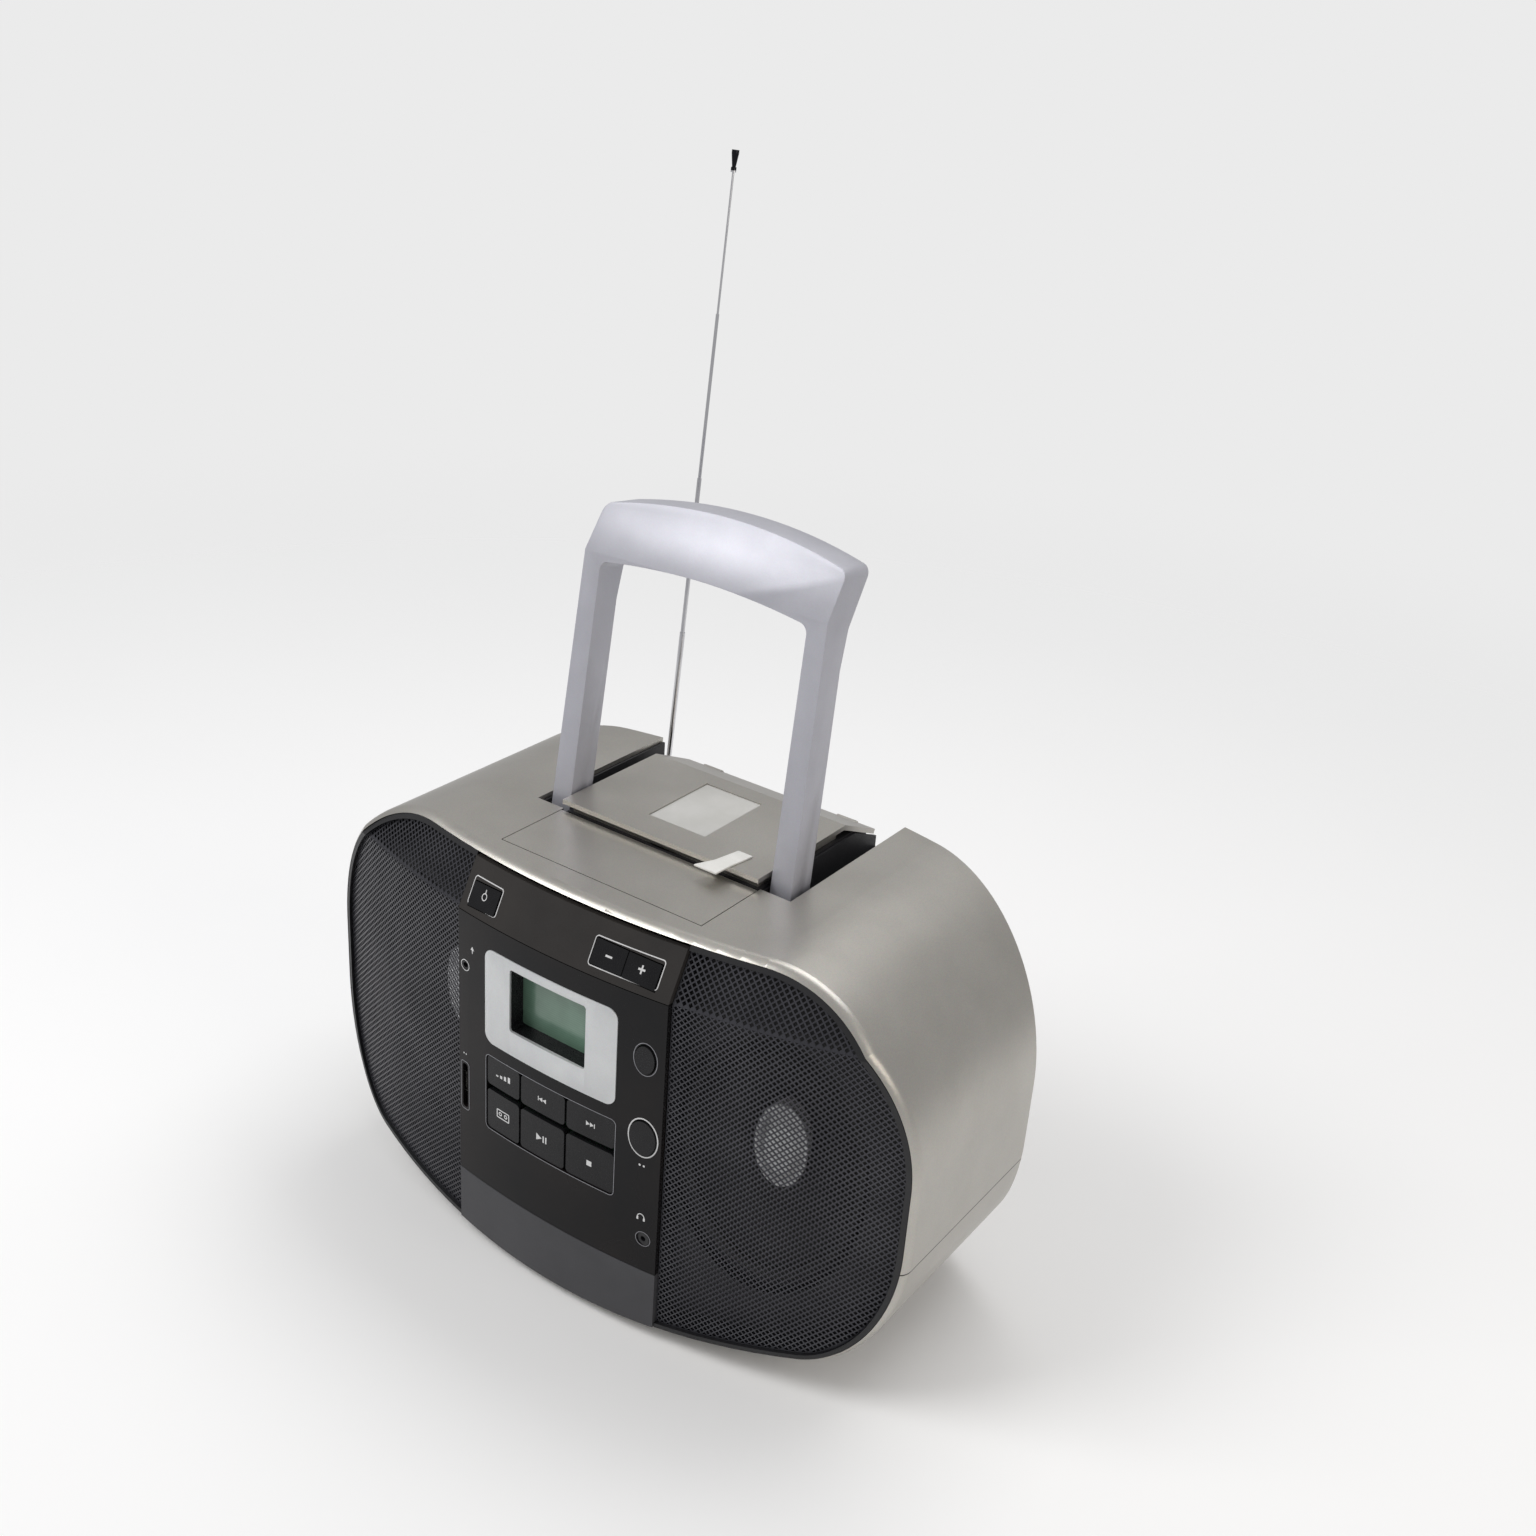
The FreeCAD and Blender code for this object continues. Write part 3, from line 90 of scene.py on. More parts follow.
def add_node(tree: bpy.types.NodeTree, kind: str, settings: dict | None = None,
             inputs: dict | None = None) -> bpy.types.Node:
    """Add a shader node with its settings and links.

    Args:
        tree: The node tree that it goes in.
        kind: The node's type name.
        settings: Properties of the node.
        inputs: Values or sockets for its inputs, by name or number.

    Returns:
        The new node.
    """
    node = tree.nodes.new(kind)
    for name, value in (settings or {}).items():
        setattr(node, name, value)
    for name, value in (inputs or {}).items():
        if isinstance(value, bpy.types.NodeSocket):
            tree.links.new(value, node.inputs[name])
        else:
            node.inputs[name].default_value = value
    return node


# ---------------------------------------------------------------- finishes
@dataclass(frozen=True)
class Finish:
    """A surface finish: two close colours in soft clouds, and a fine grain that breaks up the gloss."""

    name: str
    colour: str
    second: str
    roughness: float
    rough_spread: float = 0.06
    metallic: float = 0.0
    ior: float = 1.46
    cloud_mm: float = 30.0
    grain_mm: float = 0.5
    grain_depth_mm: float = 0.01
    stretch: tuple[float, float, float] = (1.0, 1.0, 1.0)
    coat: float = 0.0
    coat_roughness: float = 0.05
    specular: float = 0.5

    def material(self) -> bpy.types.Material:
        """Make the material, unless it is there already.

        Returns:
            The material.
        """
        made = bpy.data.materials.get(self.name)
        if made:
            return made
        made = bpy.data.materials.new(self.name)
        made.use_nodes = True
        tree = made.node_tree
        tree.nodes.clear()
        out = add_node(tree, "ShaderNodeOutputMaterial")
        place = add_node(tree, "ShaderNodeTexCoord").outputs["Object"]
        shader = self.shader(tree, place)
        tree.links.new(shader.outputs[0], out.inputs["Surface"])
        return made

    def shader(self, tree: bpy.types.NodeTree, place: bpy.types.NodeSocket) -> bpy.types.Node:
        """Build the shader.

        Args:
            tree: The material's node tree.
            place: Object coordinates.

        Returns:
            The shader node.
        """
        colour = self.colours(tree, place)
        grain = self.grain(tree, place)
        rough = add_node(tree, "ShaderNodeMapRange", inputs={
            "Value": grain, "From Min": 0.3, "From Max": 0.7,
            "To Min": max(0.02, self.roughness - self.rough_spread),
            "To Max": min(1.0, self.roughness + self.rough_spread)})
        bump = add_node(tree, "ShaderNodeBump", inputs={
            "Strength": 1.0, "Distance": self.grain_depth_mm * MM, "Height": grain})
        return add_node(tree, "ShaderNodeBsdfPrincipled", inputs={
            "Base Color": colour, "Metallic": self.metallic, "Roughness": rough.outputs[0],
            "IOR": self.ior, "Specular IOR Level": self.specular, "Coat Weight": self.coat,
            "Coat Roughness": self.coat_roughness, "Normal": bump.outputs[0]})

    def colours(self, tree: bpy.types.NodeTree, place: bpy.types.NodeSocket) -> bpy.types.NodeSocket:
        """Clouds of the two colours.

        Args:
            tree: The material's node tree.
            place: Object coordinates.

        Returns:
            The colour socket.
        """
        cloud = add_node(tree, "ShaderNodeTexNoise", inputs={
            "Vector": place, "Scale": 1000 / self.cloud_mm, "Detail": 3.0, "Roughness": 0.55})
        share = add_node(tree, "ShaderNodeMapRange", inputs={
            "Value": cloud.outputs[0], "From Min": 0.35, "From Max": 0.65})
        mix = add_node(tree, "ShaderNodeMix", {"data_type": "RGBA"}, {
            0: share.outputs[0], 6: linear(self.colour), 7: linear(self.second)})
        return mix.outputs[2]

    def grain(self, tree: bpy.types.NodeTree, place: bpy.types.NodeSocket) -> bpy.types.NodeSocket:
        """Fine grain, drawn out along an axis where the surface was brushed or drawn.

        Args:
            tree: The material's node tree.
            place: Object coordinates.

        Returns:
            The height socket.
        """
        turned = add_node(tree, "ShaderNodeMapping", inputs={"Vector": place, "Scale": self.stretch})
        grain = add_node(tree, "ShaderNodeTexNoise", inputs={
            "Vector": turned.outputs[0], "Scale": 1000 / self.grain_mm, "Detail": 2.0, "Roughness": 0.5})
        return grain.outputs[0]


@dataclass(frozen=True)
class RingedFinish(Finish):
    """A finish with fine rings round an upright or level axis, as on turned metal or pressed paper."""

    pitch_mm: float = 1.0
    centre_mm: tuple[float, float, float] = (0.0, 0.0, 0.0)
    squash: tuple[float, float, float] = (1.0, 1.0, 1.0)

    def grain(self, tree: bpy.types.NodeTree, place: bpy.types.NodeSocket) -> bpy.types.NodeSocket:
        """Rings round the middle, a little broken by noise.

        Args:
            tree: The material's node tree.
            place: Object coordinates.

        Returns:
            The height socket.
        """
        shift = tuple(-c * MM * s for c, s in zip(self.centre_mm, self.squash))
        turned = add_node(tree, "ShaderNodeMapping", inputs={
            "Vector": place, "Location": shift, "Scale": self.squash})
        rings = add_node(tree, "ShaderNodeTexWave", {"wave_type": "RINGS", "rings_direction": "SPHERICAL"}, {
            "Vector": turned.outputs[0], "Scale": RING_UNIT * 1000 / self.pitch_mm, "Distortion": 0.3,
            "Detail": 2.0, "Detail Scale": 3.0})
        return rings.outputs[1]


@dataclass(frozen=True)
class SpeckledFinish(Finish):
    """A paint with metal flakes: tiny cells of lighter and darker colour under the clouds."""

    flake_mm: float = 0.35
    flake_share: float = 0.10

    def colours(self, tree: bpy.types.NodeTree, place: bpy.types.NodeSocket) -> bpy.types.NodeSocket:
        """The clouds with flakes over them.

        Args:
            tree: The material's node tree.
            place: Object coordinates.

        Returns:
            The colour socket.
        """
        ground = super().colours(tree, place)
        cells = add_node(tree, "ShaderNodeTexVoronoi", inputs={"Vector": place, "Scale": 1000 / self.flake_mm})
        flakes = add_node(tree, "ShaderNodeMix", {"data_type": "RGBA", "blend_type": "OVERLAY"}, {
            0: self.flake_share, 6: ground, 7: cells.outputs["Color"]})
        grey = add_node(tree, "ShaderNodeHueSaturation", inputs={"Saturation": 0.8, "Color": flakes.outputs[2]})
        return grey.outputs[0]


@dataclass(frozen=True)
class SeamedFinish(SpeckledFinish):
    """The flaked paint with the dark shadow line where two mouldings meet at a height."""

    seam_z_mm: float = 104.0
    seam_mm: float = 0.45

    def colours(self, tree: bpy.types.NodeTree, place: bpy.types.NodeSocket) -> bpy.types.NodeSocket:
        """The paint, darkened in a thin level line.

        Args:
            tree: The material's node tree.
            place: Object coordinates.

        Returns:
            The colour socket.
        """
        ground = super().colours(tree, place)
        parts = add_node(tree, "ShaderNodeSeparateXYZ", inputs={"Vector": place})
        line = add_node(tree, "ShaderNodeMath", {"operation": "COMPARE"}, {
            0: parts.outputs[2], 1: self.seam_z_mm * MM, 2: self.seam_mm * MM})
        mix = add_node(tree, "ShaderNodeMix", {"data_type": "RGBA"}, {
            0: line.outputs[0], 6: ground, 7: linear("#3a3835")})
        return mix.outputs[2]


@dataclass(frozen=True)
class BoardFinish(Finish):
    """A circuit board: solder resist over copper tracks, with bright pads."""

    track_mm: float = 2.6

    def colours(self, tree: bpy.types.NodeTree, place: bpy.types.NodeSocket) -> bpy.types.NodeSocket:
        """Tracks as a slightly lighter green, pads as tin.

        Args:
            tree: The material's node tree.
            place: Object coordinates.

        Returns:
            The colour socket.
        """
        cells = add_node(tree, "ShaderNodeTexVoronoi", {"distance": "MANHATTAN"}, {
            "Vector": place, "Scale": 1000 / self.track_mm, "Randomness": 0.55})
        tracks = add_node(tree, "ShaderNodeMapRange", inputs={
            "Value": cells.outputs["Distance"], "From Min": 0.42, "From Max": 0.5})
        green = add_node(tree, "ShaderNodeMix", {"data_type": "RGBA"}, {
            0: tracks.outputs[0], 6: linear(self.colour), 7: linear(self.second)})
        pads = add_node(tree, "ShaderNodeMapRange", inputs={
            "Value": cells.outputs["Distance"], "From Min": 0.17, "From Max": 0.14})
        tinned = add_node(tree, "ShaderNodeMix", {"data_type": "RGBA"}, {
            0: pads.outputs[0], 6: green.outputs[2], 7: linear("#b9b7ad")})
        return tinned.outputs[2]


@dataclass(frozen=True)
class DisplayFinish(Finish):
    """A liquid crystal cell at rest: grey green with faint segment lines under smooth glass."""

    line_mm: float = 1.5

    def colours(self, tree: bpy.types.NodeTree, place: bpy.types.NodeSocket) -> bpy.types.NodeSocket:
        """Green that darkens towards one side, ruled with faint lines.

        Args:
            tree: The material's node tree.
            place: Object coordinates.

        Returns:
            The colour socket.
        """
        ground = super().colours(tree, place)
        lines = add_node(tree, "ShaderNodeTexWave", {"bands_direction": "Z"}, {
            "Vector": place, "Scale": BAND_UNIT * 1000 / self.line_mm, "Distortion": 0.0})
        faint = add_node(tree, "ShaderNodeMapRange", inputs={
            "Value": lines.outputs[1], "To Min": 0.90, "To Max": 1.03})
        parts = add_node(tree, "ShaderNodeSeparateXYZ", inputs={"Vector": place})
        across = add_node(tree, "ShaderNodeMapRange", inputs={
            "Value": parts.outputs[0], "From Min": -0.034, "From Max": 0.012, "To Min": 0.72, "To Max": 1.0})
        both = add_node(tree, "ShaderNodeMath", {"operation": "MULTIPLY"}, {
            0: faint.outputs[0], 1: across.outputs[0]})
        shade = add_node(tree, "ShaderNodeHueSaturation", inputs={"Value": both.outputs[0], "Color": ground})
        return shade.outputs[0]


@dataclass(frozen=True)
class ClearFinish(Finish):
    """Clear moulded plastic: mostly see-through, with a smoky tint and a soft haze."""

    see_through: float = 0.3

    def shader(self, tree: bpy.types.NodeTree, place: bpy.types.NodeSocket) -> bpy.types.Node:
        """The usual shader, made see-through.

        Args:
            tree: The material's node tree.
            place: Object coordinates.

        Returns:
            The shader node.
        """
        shader = super().shader(tree, place)
        shader.inputs["Transmission Weight"].default_value = self.see_through
        return shader


@dataclass(frozen=True)
class TippedFinish(Finish):
    """Bright metal whose far end, above a height, is a dark moulded tip."""

    tip_z_mm: float = 1000.0
    tip_colour: str = "#26262a"

    def colours(self, tree: bpy.types.NodeTree, place: bpy.types.NodeSocket) -> bpy.types.NodeSocket:
        """The metal's colours below the tip and the tip's above it.

        Args:
            tree: The material's node tree.
            place: Object coordinates.

        Returns:
            The colour socket.
        """
        ground = super().colours(tree, place)
        parts = add_node(tree, "ShaderNodeSeparateXYZ", inputs={"Vector": place})
        above = add_node(tree, "ShaderNodeMath", {"operation": "GREATER_THAN"}, {
            0: parts.outputs[2], 1: self.tip_z_mm * MM})
        mix = add_node(tree, "ShaderNodeMix", {"data_type": "RGBA"}, {
            0: above.outputs[0], 6: ground, 7: linear(self.tip_colour)})
        return mix.outputs[2]


# warm silver lacquer on moulded ABS: soft streaky reflections, a faint sparkle close up
SILVER = SpeckledFinish("satin_silver_lacquer", "#bab6ae", "#b2aea6", 0.34, 0.05, metallic=0.82,
                        cloud_mm=60, grain_mm=0.4, grain_depth_mm=0.004)
# the two halves of the cabinet, with the shadow line of their joint
CABINET_SILVER = SeamedFinish("cabinet_silver_lacquer", "#bab6ae", "#b2aea6", 0.34, 0.05, metallic=0.82,
                              cloud_mm=60, grain_mm=0.4, grain_depth_mm=0.004)
# the same lacquer, paler and cooler, round the display
PALE_SILVER = SpeckledFinish("pale_silver_lacquer", "#cfd1d2", "#c8cacc", 0.36, 0.05, metallic=0.55,
                             cloud_mm=25, grain_mm=0.4, grain_depth_mm=0.004)
# bluish grey moulded handle: even, softly shining
HANDLE_GREY = SpeckledFinish("handle_grey_lacquer", "#bcbcc6", "#b4b4be", 0.42, 0.05, metallic=0.35,
                             cloud_mm=40, grain_mm=0.45, grain_depth_mm=0.006, flake_share=0.06)
# matt black ABS with a fine spark-eroded texture
BLACK_FRAME = Finish("textured_black_abs", "#1f1f22", "#19191b", 0.46, 0.08, grain_mm=0.6, grain_depth_mm=0.02)
# black stove enamel on perforated steel: small glints on each bar
GRILLE_BLACK = Finish("enamelled_grille_steel", "#46464b", "#3b3b40", 0.34, 0.08, metallic=0.45,
                      cloud_mm=45, grain_mm=0.5, grain_depth_mm=0.005, specular=0.4)
# polished black polystyrene: deep, with clear reflections and a few wiped smears
PIANO_BLACK = Finish("polished_black_styrene", "#121214", "#1a1717", 0.15, 0.03, ior=1.59,
                     cloud_mm=60, grain_mm=12.0, grain_depth_mm=0.003, specular=0.12)
# warm dark grey gloss of the leaning strip
STRIP_BROWN = Finish("warm_grey_gloss_abs", "#33302e", "#2c2a29", 0.28, 0.04, ior=1.53,
                     cloud_mm=70, grain_mm=9.0, grain_depth_mm=0.003, specular=0.3)
# satin dark grey of the chin
CHIN_GREY = Finish("satin_grey_abs", "#47474a", "#414144", 0.42, 0.06, metallic=0.1, cloud_mm=50,
                   grain_mm=0.6, grain_depth_mm=0.01, specular=0.35)
# the keys: a shade softer than the panel
KEY_BLACK = Finish("silky_black_key", "#1a1a1c", "#151517", 0.26, 0.05, cloud_mm=15, grain_mm=0.8,
                   grain_depth_mm=0.006, specular=0.25)
# grey green liquid crystal
LCD_GREEN = DisplayFinish("liquid_crystal_cell", "#6b8b78", "#63826f", 0.22, 0.03, ior=1.52, cloud_mm=14,
                          grain_mm=4.0, grain_depth_mm=0.001, coat=0.4)
# glass-fibre board with green resist
BOARD_GREEN = BoardFinish("green_circuit_board", "#1f5a35", "#2f7a48", 0.40, 0.08, cloud_mm=8, grain_mm=0.7)
# pressed steel baskets and magnets, dulled black
SPEAKER_STEEL = Finish("blackened_steel", "#3a3a3d", "#303033", 0.45, 0.1, metallic=0.7, cloud_mm=12,
                       grain_mm=0.8, grain_depth_mm=0.01)
# pressed paper pulp: matt, faintly fibrous, with shallow ribs
CONE_PAPER = RingedFinish("pressed_paper_cone", "#0c0c0d", "#131314", 0.62, 0.1, cloud_mm=5,
                          grain_depth_mm=0.25, pitch_mm=5.0, centre_mm=(136.0, -70.0, 138.4),
                          squash=(1.45, 1.0, 1.0))
# metallised film domes: bright, softly mirrored
CAP_SILVER = Finish("metallised_dome", "#f2f3f5", "#e6e7ea", 0.24, 0.05, metallic=0.35, cloud_mm=10,
                    grain_mm=0.8, grain_depth_mm=0.006)
# matt black mouldings of the bays
DECK_BLACK = Finish("matt_black_abs", "#2b2b2e", "#252528", 0.55, 0.08, grain_mm=0.7, grain_depth_mm=0.02)
# bright zinc plate on pressed steel, with a faint spangle
ZINC = Finish("zinc_plated_steel", "#b3b3ae", "#9f9f9b", 0.32, 0.1, metallic=1.0, ior=1.5, cloud_mm=6,
              grain_mm=0.5, grain_depth_mm=0.006)
# chromed brass tube: mirror bright with fine draw lines along it
CHROME = Finish("chromed_tube", "#d9d9dc", "#cfcfd3", 0.12, 0.04, metallic=1.0, ior=1.5, cloud_mm=20,
                grain_mm=0.3, grain_depth_mm=0.001, stretch=(1.0, 1.0, 0.05))
TIP_CHROME = TippedFinish("chromed_tube_with_dark_tip", "#d9d9dc", "#cfcfd3", 0.16, 0.04, metallic=0.9,
                          ior=1.5, cloud_mm=20, grain_mm=0.3, grain_depth_mm=0.001, tip_z_mm=614.0)
# smoky clear polystyrene of the disc window
WINDOW = ClearFinish("clear_styrene", "#e4e3df", "#dcdbd6", 0.12, 0.03, ior=1.59, cloud_mm=20,
                     grain_mm=3.0, grain_depth_mm=0.001)
# white glossy ABS of the lift tab
TAB_WHITE = Finish("white_abs", "#efeeea", "#e8e7e2", 0.32, 0.05, cloud_mm=8, grain_mm=0.5)
# waxy white acetal of the reels
ACETAL = Finish("white_acetal", "#dddcd4", "#d4d3ca", 0.38, 0.06, ior=1.48, cloud_mm=6, grain_mm=0.5)
# black rubber: dull, slightly dusty
RUBBER = Finish("black_rubber", "#222222", "#2c2b2a", 0.75, 0.08, ior=1.52, cloud_mm=4, grain_mm=0.4,
                grain_depth_mm=0.02)
# turned brass flywheel
BRASS = RingedFinish("turned_brass", "#b99a55", "#a88a4a", 0.25, 0.08, metallic=1.0, ior=1.5, cloud_mm=9,
                     grain_depth_mm=0.01, pitch_mm=0.8, centre_mm=(-14.5, -45.0, 211.0))
# varnished laminations of the transformer
CORE = Finish("varnished_laminations", "#4b3a28", "#5b4630", 0.42, 0.1, metallic=0.3, cloud_mm=9,
              grain_mm=0.7, grain_depth_mm=0.03, stretch=(0.05, 0.05, 1.0))
# white printing ink of the marks
INK_WHITE = Finish("white_ink", "#dcdcdc", "#d2d2d2", 0.5, 0.05, cloud_mm=3, grain_mm=0.3)
# thin grey lines round the keys
INK_GREY = Finish("grey_ink", "#8f8f94", "#85858a", 0.42, 0.05, metallic=0.3, cloud_mm=6, grain_mm=0.3)

SLOT_FINISH: dict[str, Finish] = {
    "silver_shell": SILVER, "black_frame": BLACK_FRAME, "grille_mesh": GRILLE_BLACK,
    "gloss_black": PIANO_BLACK, "strip_brown": STRIP_BROWN, "chin_grey": CHIN_GREY,
    "bezel_silver": PALE_SILVER, "lcd_glass": LCD_GREEN, "key_black": KEY_BLACK,
    "board_green": BOARD_GREEN, "speaker_steel": SPEAKER_STEEL, "cone_paper": CONE_PAPER,
    "cap_silver": CAP_SILVER, "deck_black": DECK_BLACK, "zinc_steel": ZINC, "chrome": CHROME,
    "handle_grey": HANDLE_GREY, "clear_window": WINDOW, "white_tab": TAB_WHITE,
    "white_acetal": ACETAL, "rubber": RUBBER, "brass": BRASS, "copper_core": CORE,
}


# ---------------------------------------------------------------- the front surface
@dataclass(frozen=True)
class FrontSurface:
    """The player's bowed front: a round wall, upright up to a crease and leaning back above it. Millimetres."""

    half_width: float = 222.0
    front_y: float = -112.0
    sag: float = 44.0
    crease_z: float = 237.6
    slant_deg: float = 27.3

    @property
    def radius(self) -> float:
        """Radius of the bow."""
        return (self.half_width ** 2 + self.sag ** 2) / (2 * self.sag)

    @property
    def centre_y(self) -> float:
        """Where the bow's axis stands."""
        return self.front_y + self.radius

    def y_at(self, x: float, z: float, depth: float) -> float:
        """Find the surface.

        Args:
            x: Place across.
            z: Height.
            depth: How far below the surface; negative stands proud.

        Returns:
            Y of the surface there.
        """
        slope = math.tan(math.radians(self.slant_deg))
        crease = self.crease_z - depth * math.tan(math.radians(self.slant_deg) / 2)
        r = self.radius - depth - max(0.0, z - crease) * slope
        return self.centre_y - math.sqrt(r * r - x * x)

    def wrap(self, bm: bmesh.types.BMesh, depth: float) -> None:
        """Lay a flat mesh, drawn in X and Z with its thickness in Y, on the surface.

        Args:
            bm: The mesh, in millimetres.
            depth: How far below the surface its zero Y comes.
        """
        for v in bm.verts:
            v.co.y = self.y_at(v.co.x, v.co.z, depth + v.co.y)

    def turn(self, x: float, side: int) -> Matrix:
        """Matrix that carries something drawn at the middle of the front round to x.

        Args:
            x: Place across, positive.
            side: 1 for the right, -1 for the left.

        Returns:
            The turn, in millimetres.
        """
        angle = math.asin(x / self.radius) * side
        there = Matrix.Translation((0, self.centre_y, 0))
        return there @ Matrix.Rotation(angle, 4, "Z") @ there.inverted()


FRONT = FrontSurface()


# ---------------------------------------------------------------- mesh helpers
def shade(bm: bmesh.types.BMesh, sharp_deg: float = 32.0) -> None:
    """Smooth the faces and keep the edges sharp where they fold.

    Args:
        bm: The mesh.
        sharp_deg: Folds above this angle stay sharp.
    """
    for face in bm.faces:
        face.smooth = True
    for edge in bm.edges:
        edge.smooth = len(edge.link_faces) == 2 and edge.calc_face_angle(0.0) < math.radians(sharp_deg)


def finish_piece(bm: bmesh.types.BMesh, name: str, finish: Finish, body: str,
                 replaces: Iterable[str] = (), scale: float = MM) -> bpy.types.Object:
    """Turn a mesh into a named piece that rides on a body.

    Args:
        bm: The mesh, freed afterwards.
        name: The piece's name.
        finish: Its finish.
        body: The body that it rides on.
        replaces: Frame nodes that it stands for.
        scale: Metres in one unit of the mesh.

    Returns:
        The new object.
    """
    bmesh.ops.scale(bm, vec=(scale, scale, scale), verts=bm.verts)
    shade(bm)
    mesh = bpy.data.meshes.new(name)
    bm.to_mesh(mesh)
    bm.free()
    mesh.materials.append(finish.material())
    piece = bpy.data.objects.new(name, mesh)
    bpy.context.scene.collection.objects.link(piece)
    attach(piece, body)
    if replaces:
        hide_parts(*replaces)
    return piece


def flat_rectangle(bm: bmesh.types.BMesh, x0: float, x1: float, z0: float, z1: float,
                   radius: float = 0.0) -> list[bmesh.types.BMFace]:
    """A rectangle in X and Z with rounded corners.

    Args:
        bm: The mesh that it is added to.
        x0: Left.
        x1: Right.
        z0: Bottom.
        z1: Top.
        radius: Of the corners.

    Returns:
        Its face, in a list.
    """
    place = Matrix.Translation(((x0 + x1) / 2, 0, (z0 + z1) / 2)) @ Matrix.Diagonal(
        ((x1 - x0) / 2, 1, (z1 - z0) / 2, 1)) @ Matrix.Rotation(math.pi / 2, 4, "X")
    grid = bmesh.ops.create_grid(bm, x_segments=1, y_segments=1, size=1.0, matrix=place)
    corners = grid["verts"]
    faces = list({f for v in corners for f in v.link_faces})
    if radius > 0:
        cut = bmesh.ops.bevel(bm, geom=corners, offset=radius, offset_type="OFFSET", segments=5,
                              profile=0.5, affect="VERTICES", material=-1)
        faces = list({f for v in cut["verts"] for f in v.link_faces})
    return faces


def cut_middle(bm: bmesh.types.BMesh, faces: list[bmesh.types.BMFace],
               width: float) -> list[bmesh.types.BMFace]:
    """Leave only a border of flat faces.

    Args:
        bm: The mesh.
        faces: The faces, whose middle is taken out.
        width: Of the border.

    Returns:
        The border's faces.
    """
    ring = bmesh.ops.inset_region(bm, faces=faces, thickness=width, use_boundary=True,
                                  use_even_offset=True)["faces"]
    bmesh.ops.delete(bm, geom=faces, context="FACES")
    return ring


def outline_strip(bm: bmesh.types.BMesh, x0: float, x1: float, z0: float, z1: float, radius: float,
                  width: float, height: float) -> None:
    """A thin raised line round a rounded rectangle, drawn flat with its thickness towards -Y.

    Args:
        bm: The mesh that it is added to.
        x0: Left.
        x1: Right.
        z0: Bottom.
        z1: Top.
        radius: Of the corners.
        width: Of the line.
        height: Of the line above its ground.
    """
    faces = flat_rectangle(bm, x0, x1, z0, z1, radius)
    long_edges = [e for f in faces for e in f.edges if e.calc_length() > LONG_EDGE_MM]
    bmesh.ops.subdivide_edges(bm, edges=long_edges, cuts=LONG_EDGE_CUTS)
    raised(bm, cut_middle(bm, bm.faces[:], width), height)


def raised(bm: bmesh.types.BMesh, faces: list[bmesh.types.BMFace], height: float) -> None:
    """Give flat faces a thickness towards -Y and turn the result outwards.

    Args:
        bm: The mesh.
        faces: Faces that lie in X and Z.
        height: Their thickness.
    """
    grown = bmesh.ops.extrude_face_region(bm, geom=faces, use_keep_orig=True)
    verts = [g for g in grown["geom"] if isinstance(g, bmesh.types.BMVert)]
    bmesh.ops.translate(bm, vec=(0, -height, 0), verts=verts)
    bmesh.ops.recalc_face_normals(bm, faces=bm.faces)


def node_copy(source: bpy.types.Object) -> bmesh.types.BMesh:
    """Copy a frame node and merge its loose triangles into whole faces.

    Args:
        source: The frame node's object.

    Returns:
        The mesh, in metres.
    """
    bm = bmesh.new()
    bm.from_mesh(source.data)
    bmesh.ops.remove_doubles(bm, verts=bm.verts, dist=MERGE_M)
    bmesh.ops.dissolve_limit(bm, angle_limit=math.radians(FLAT_DEG), verts=bm.verts, edges=bm.edges)
    return bm


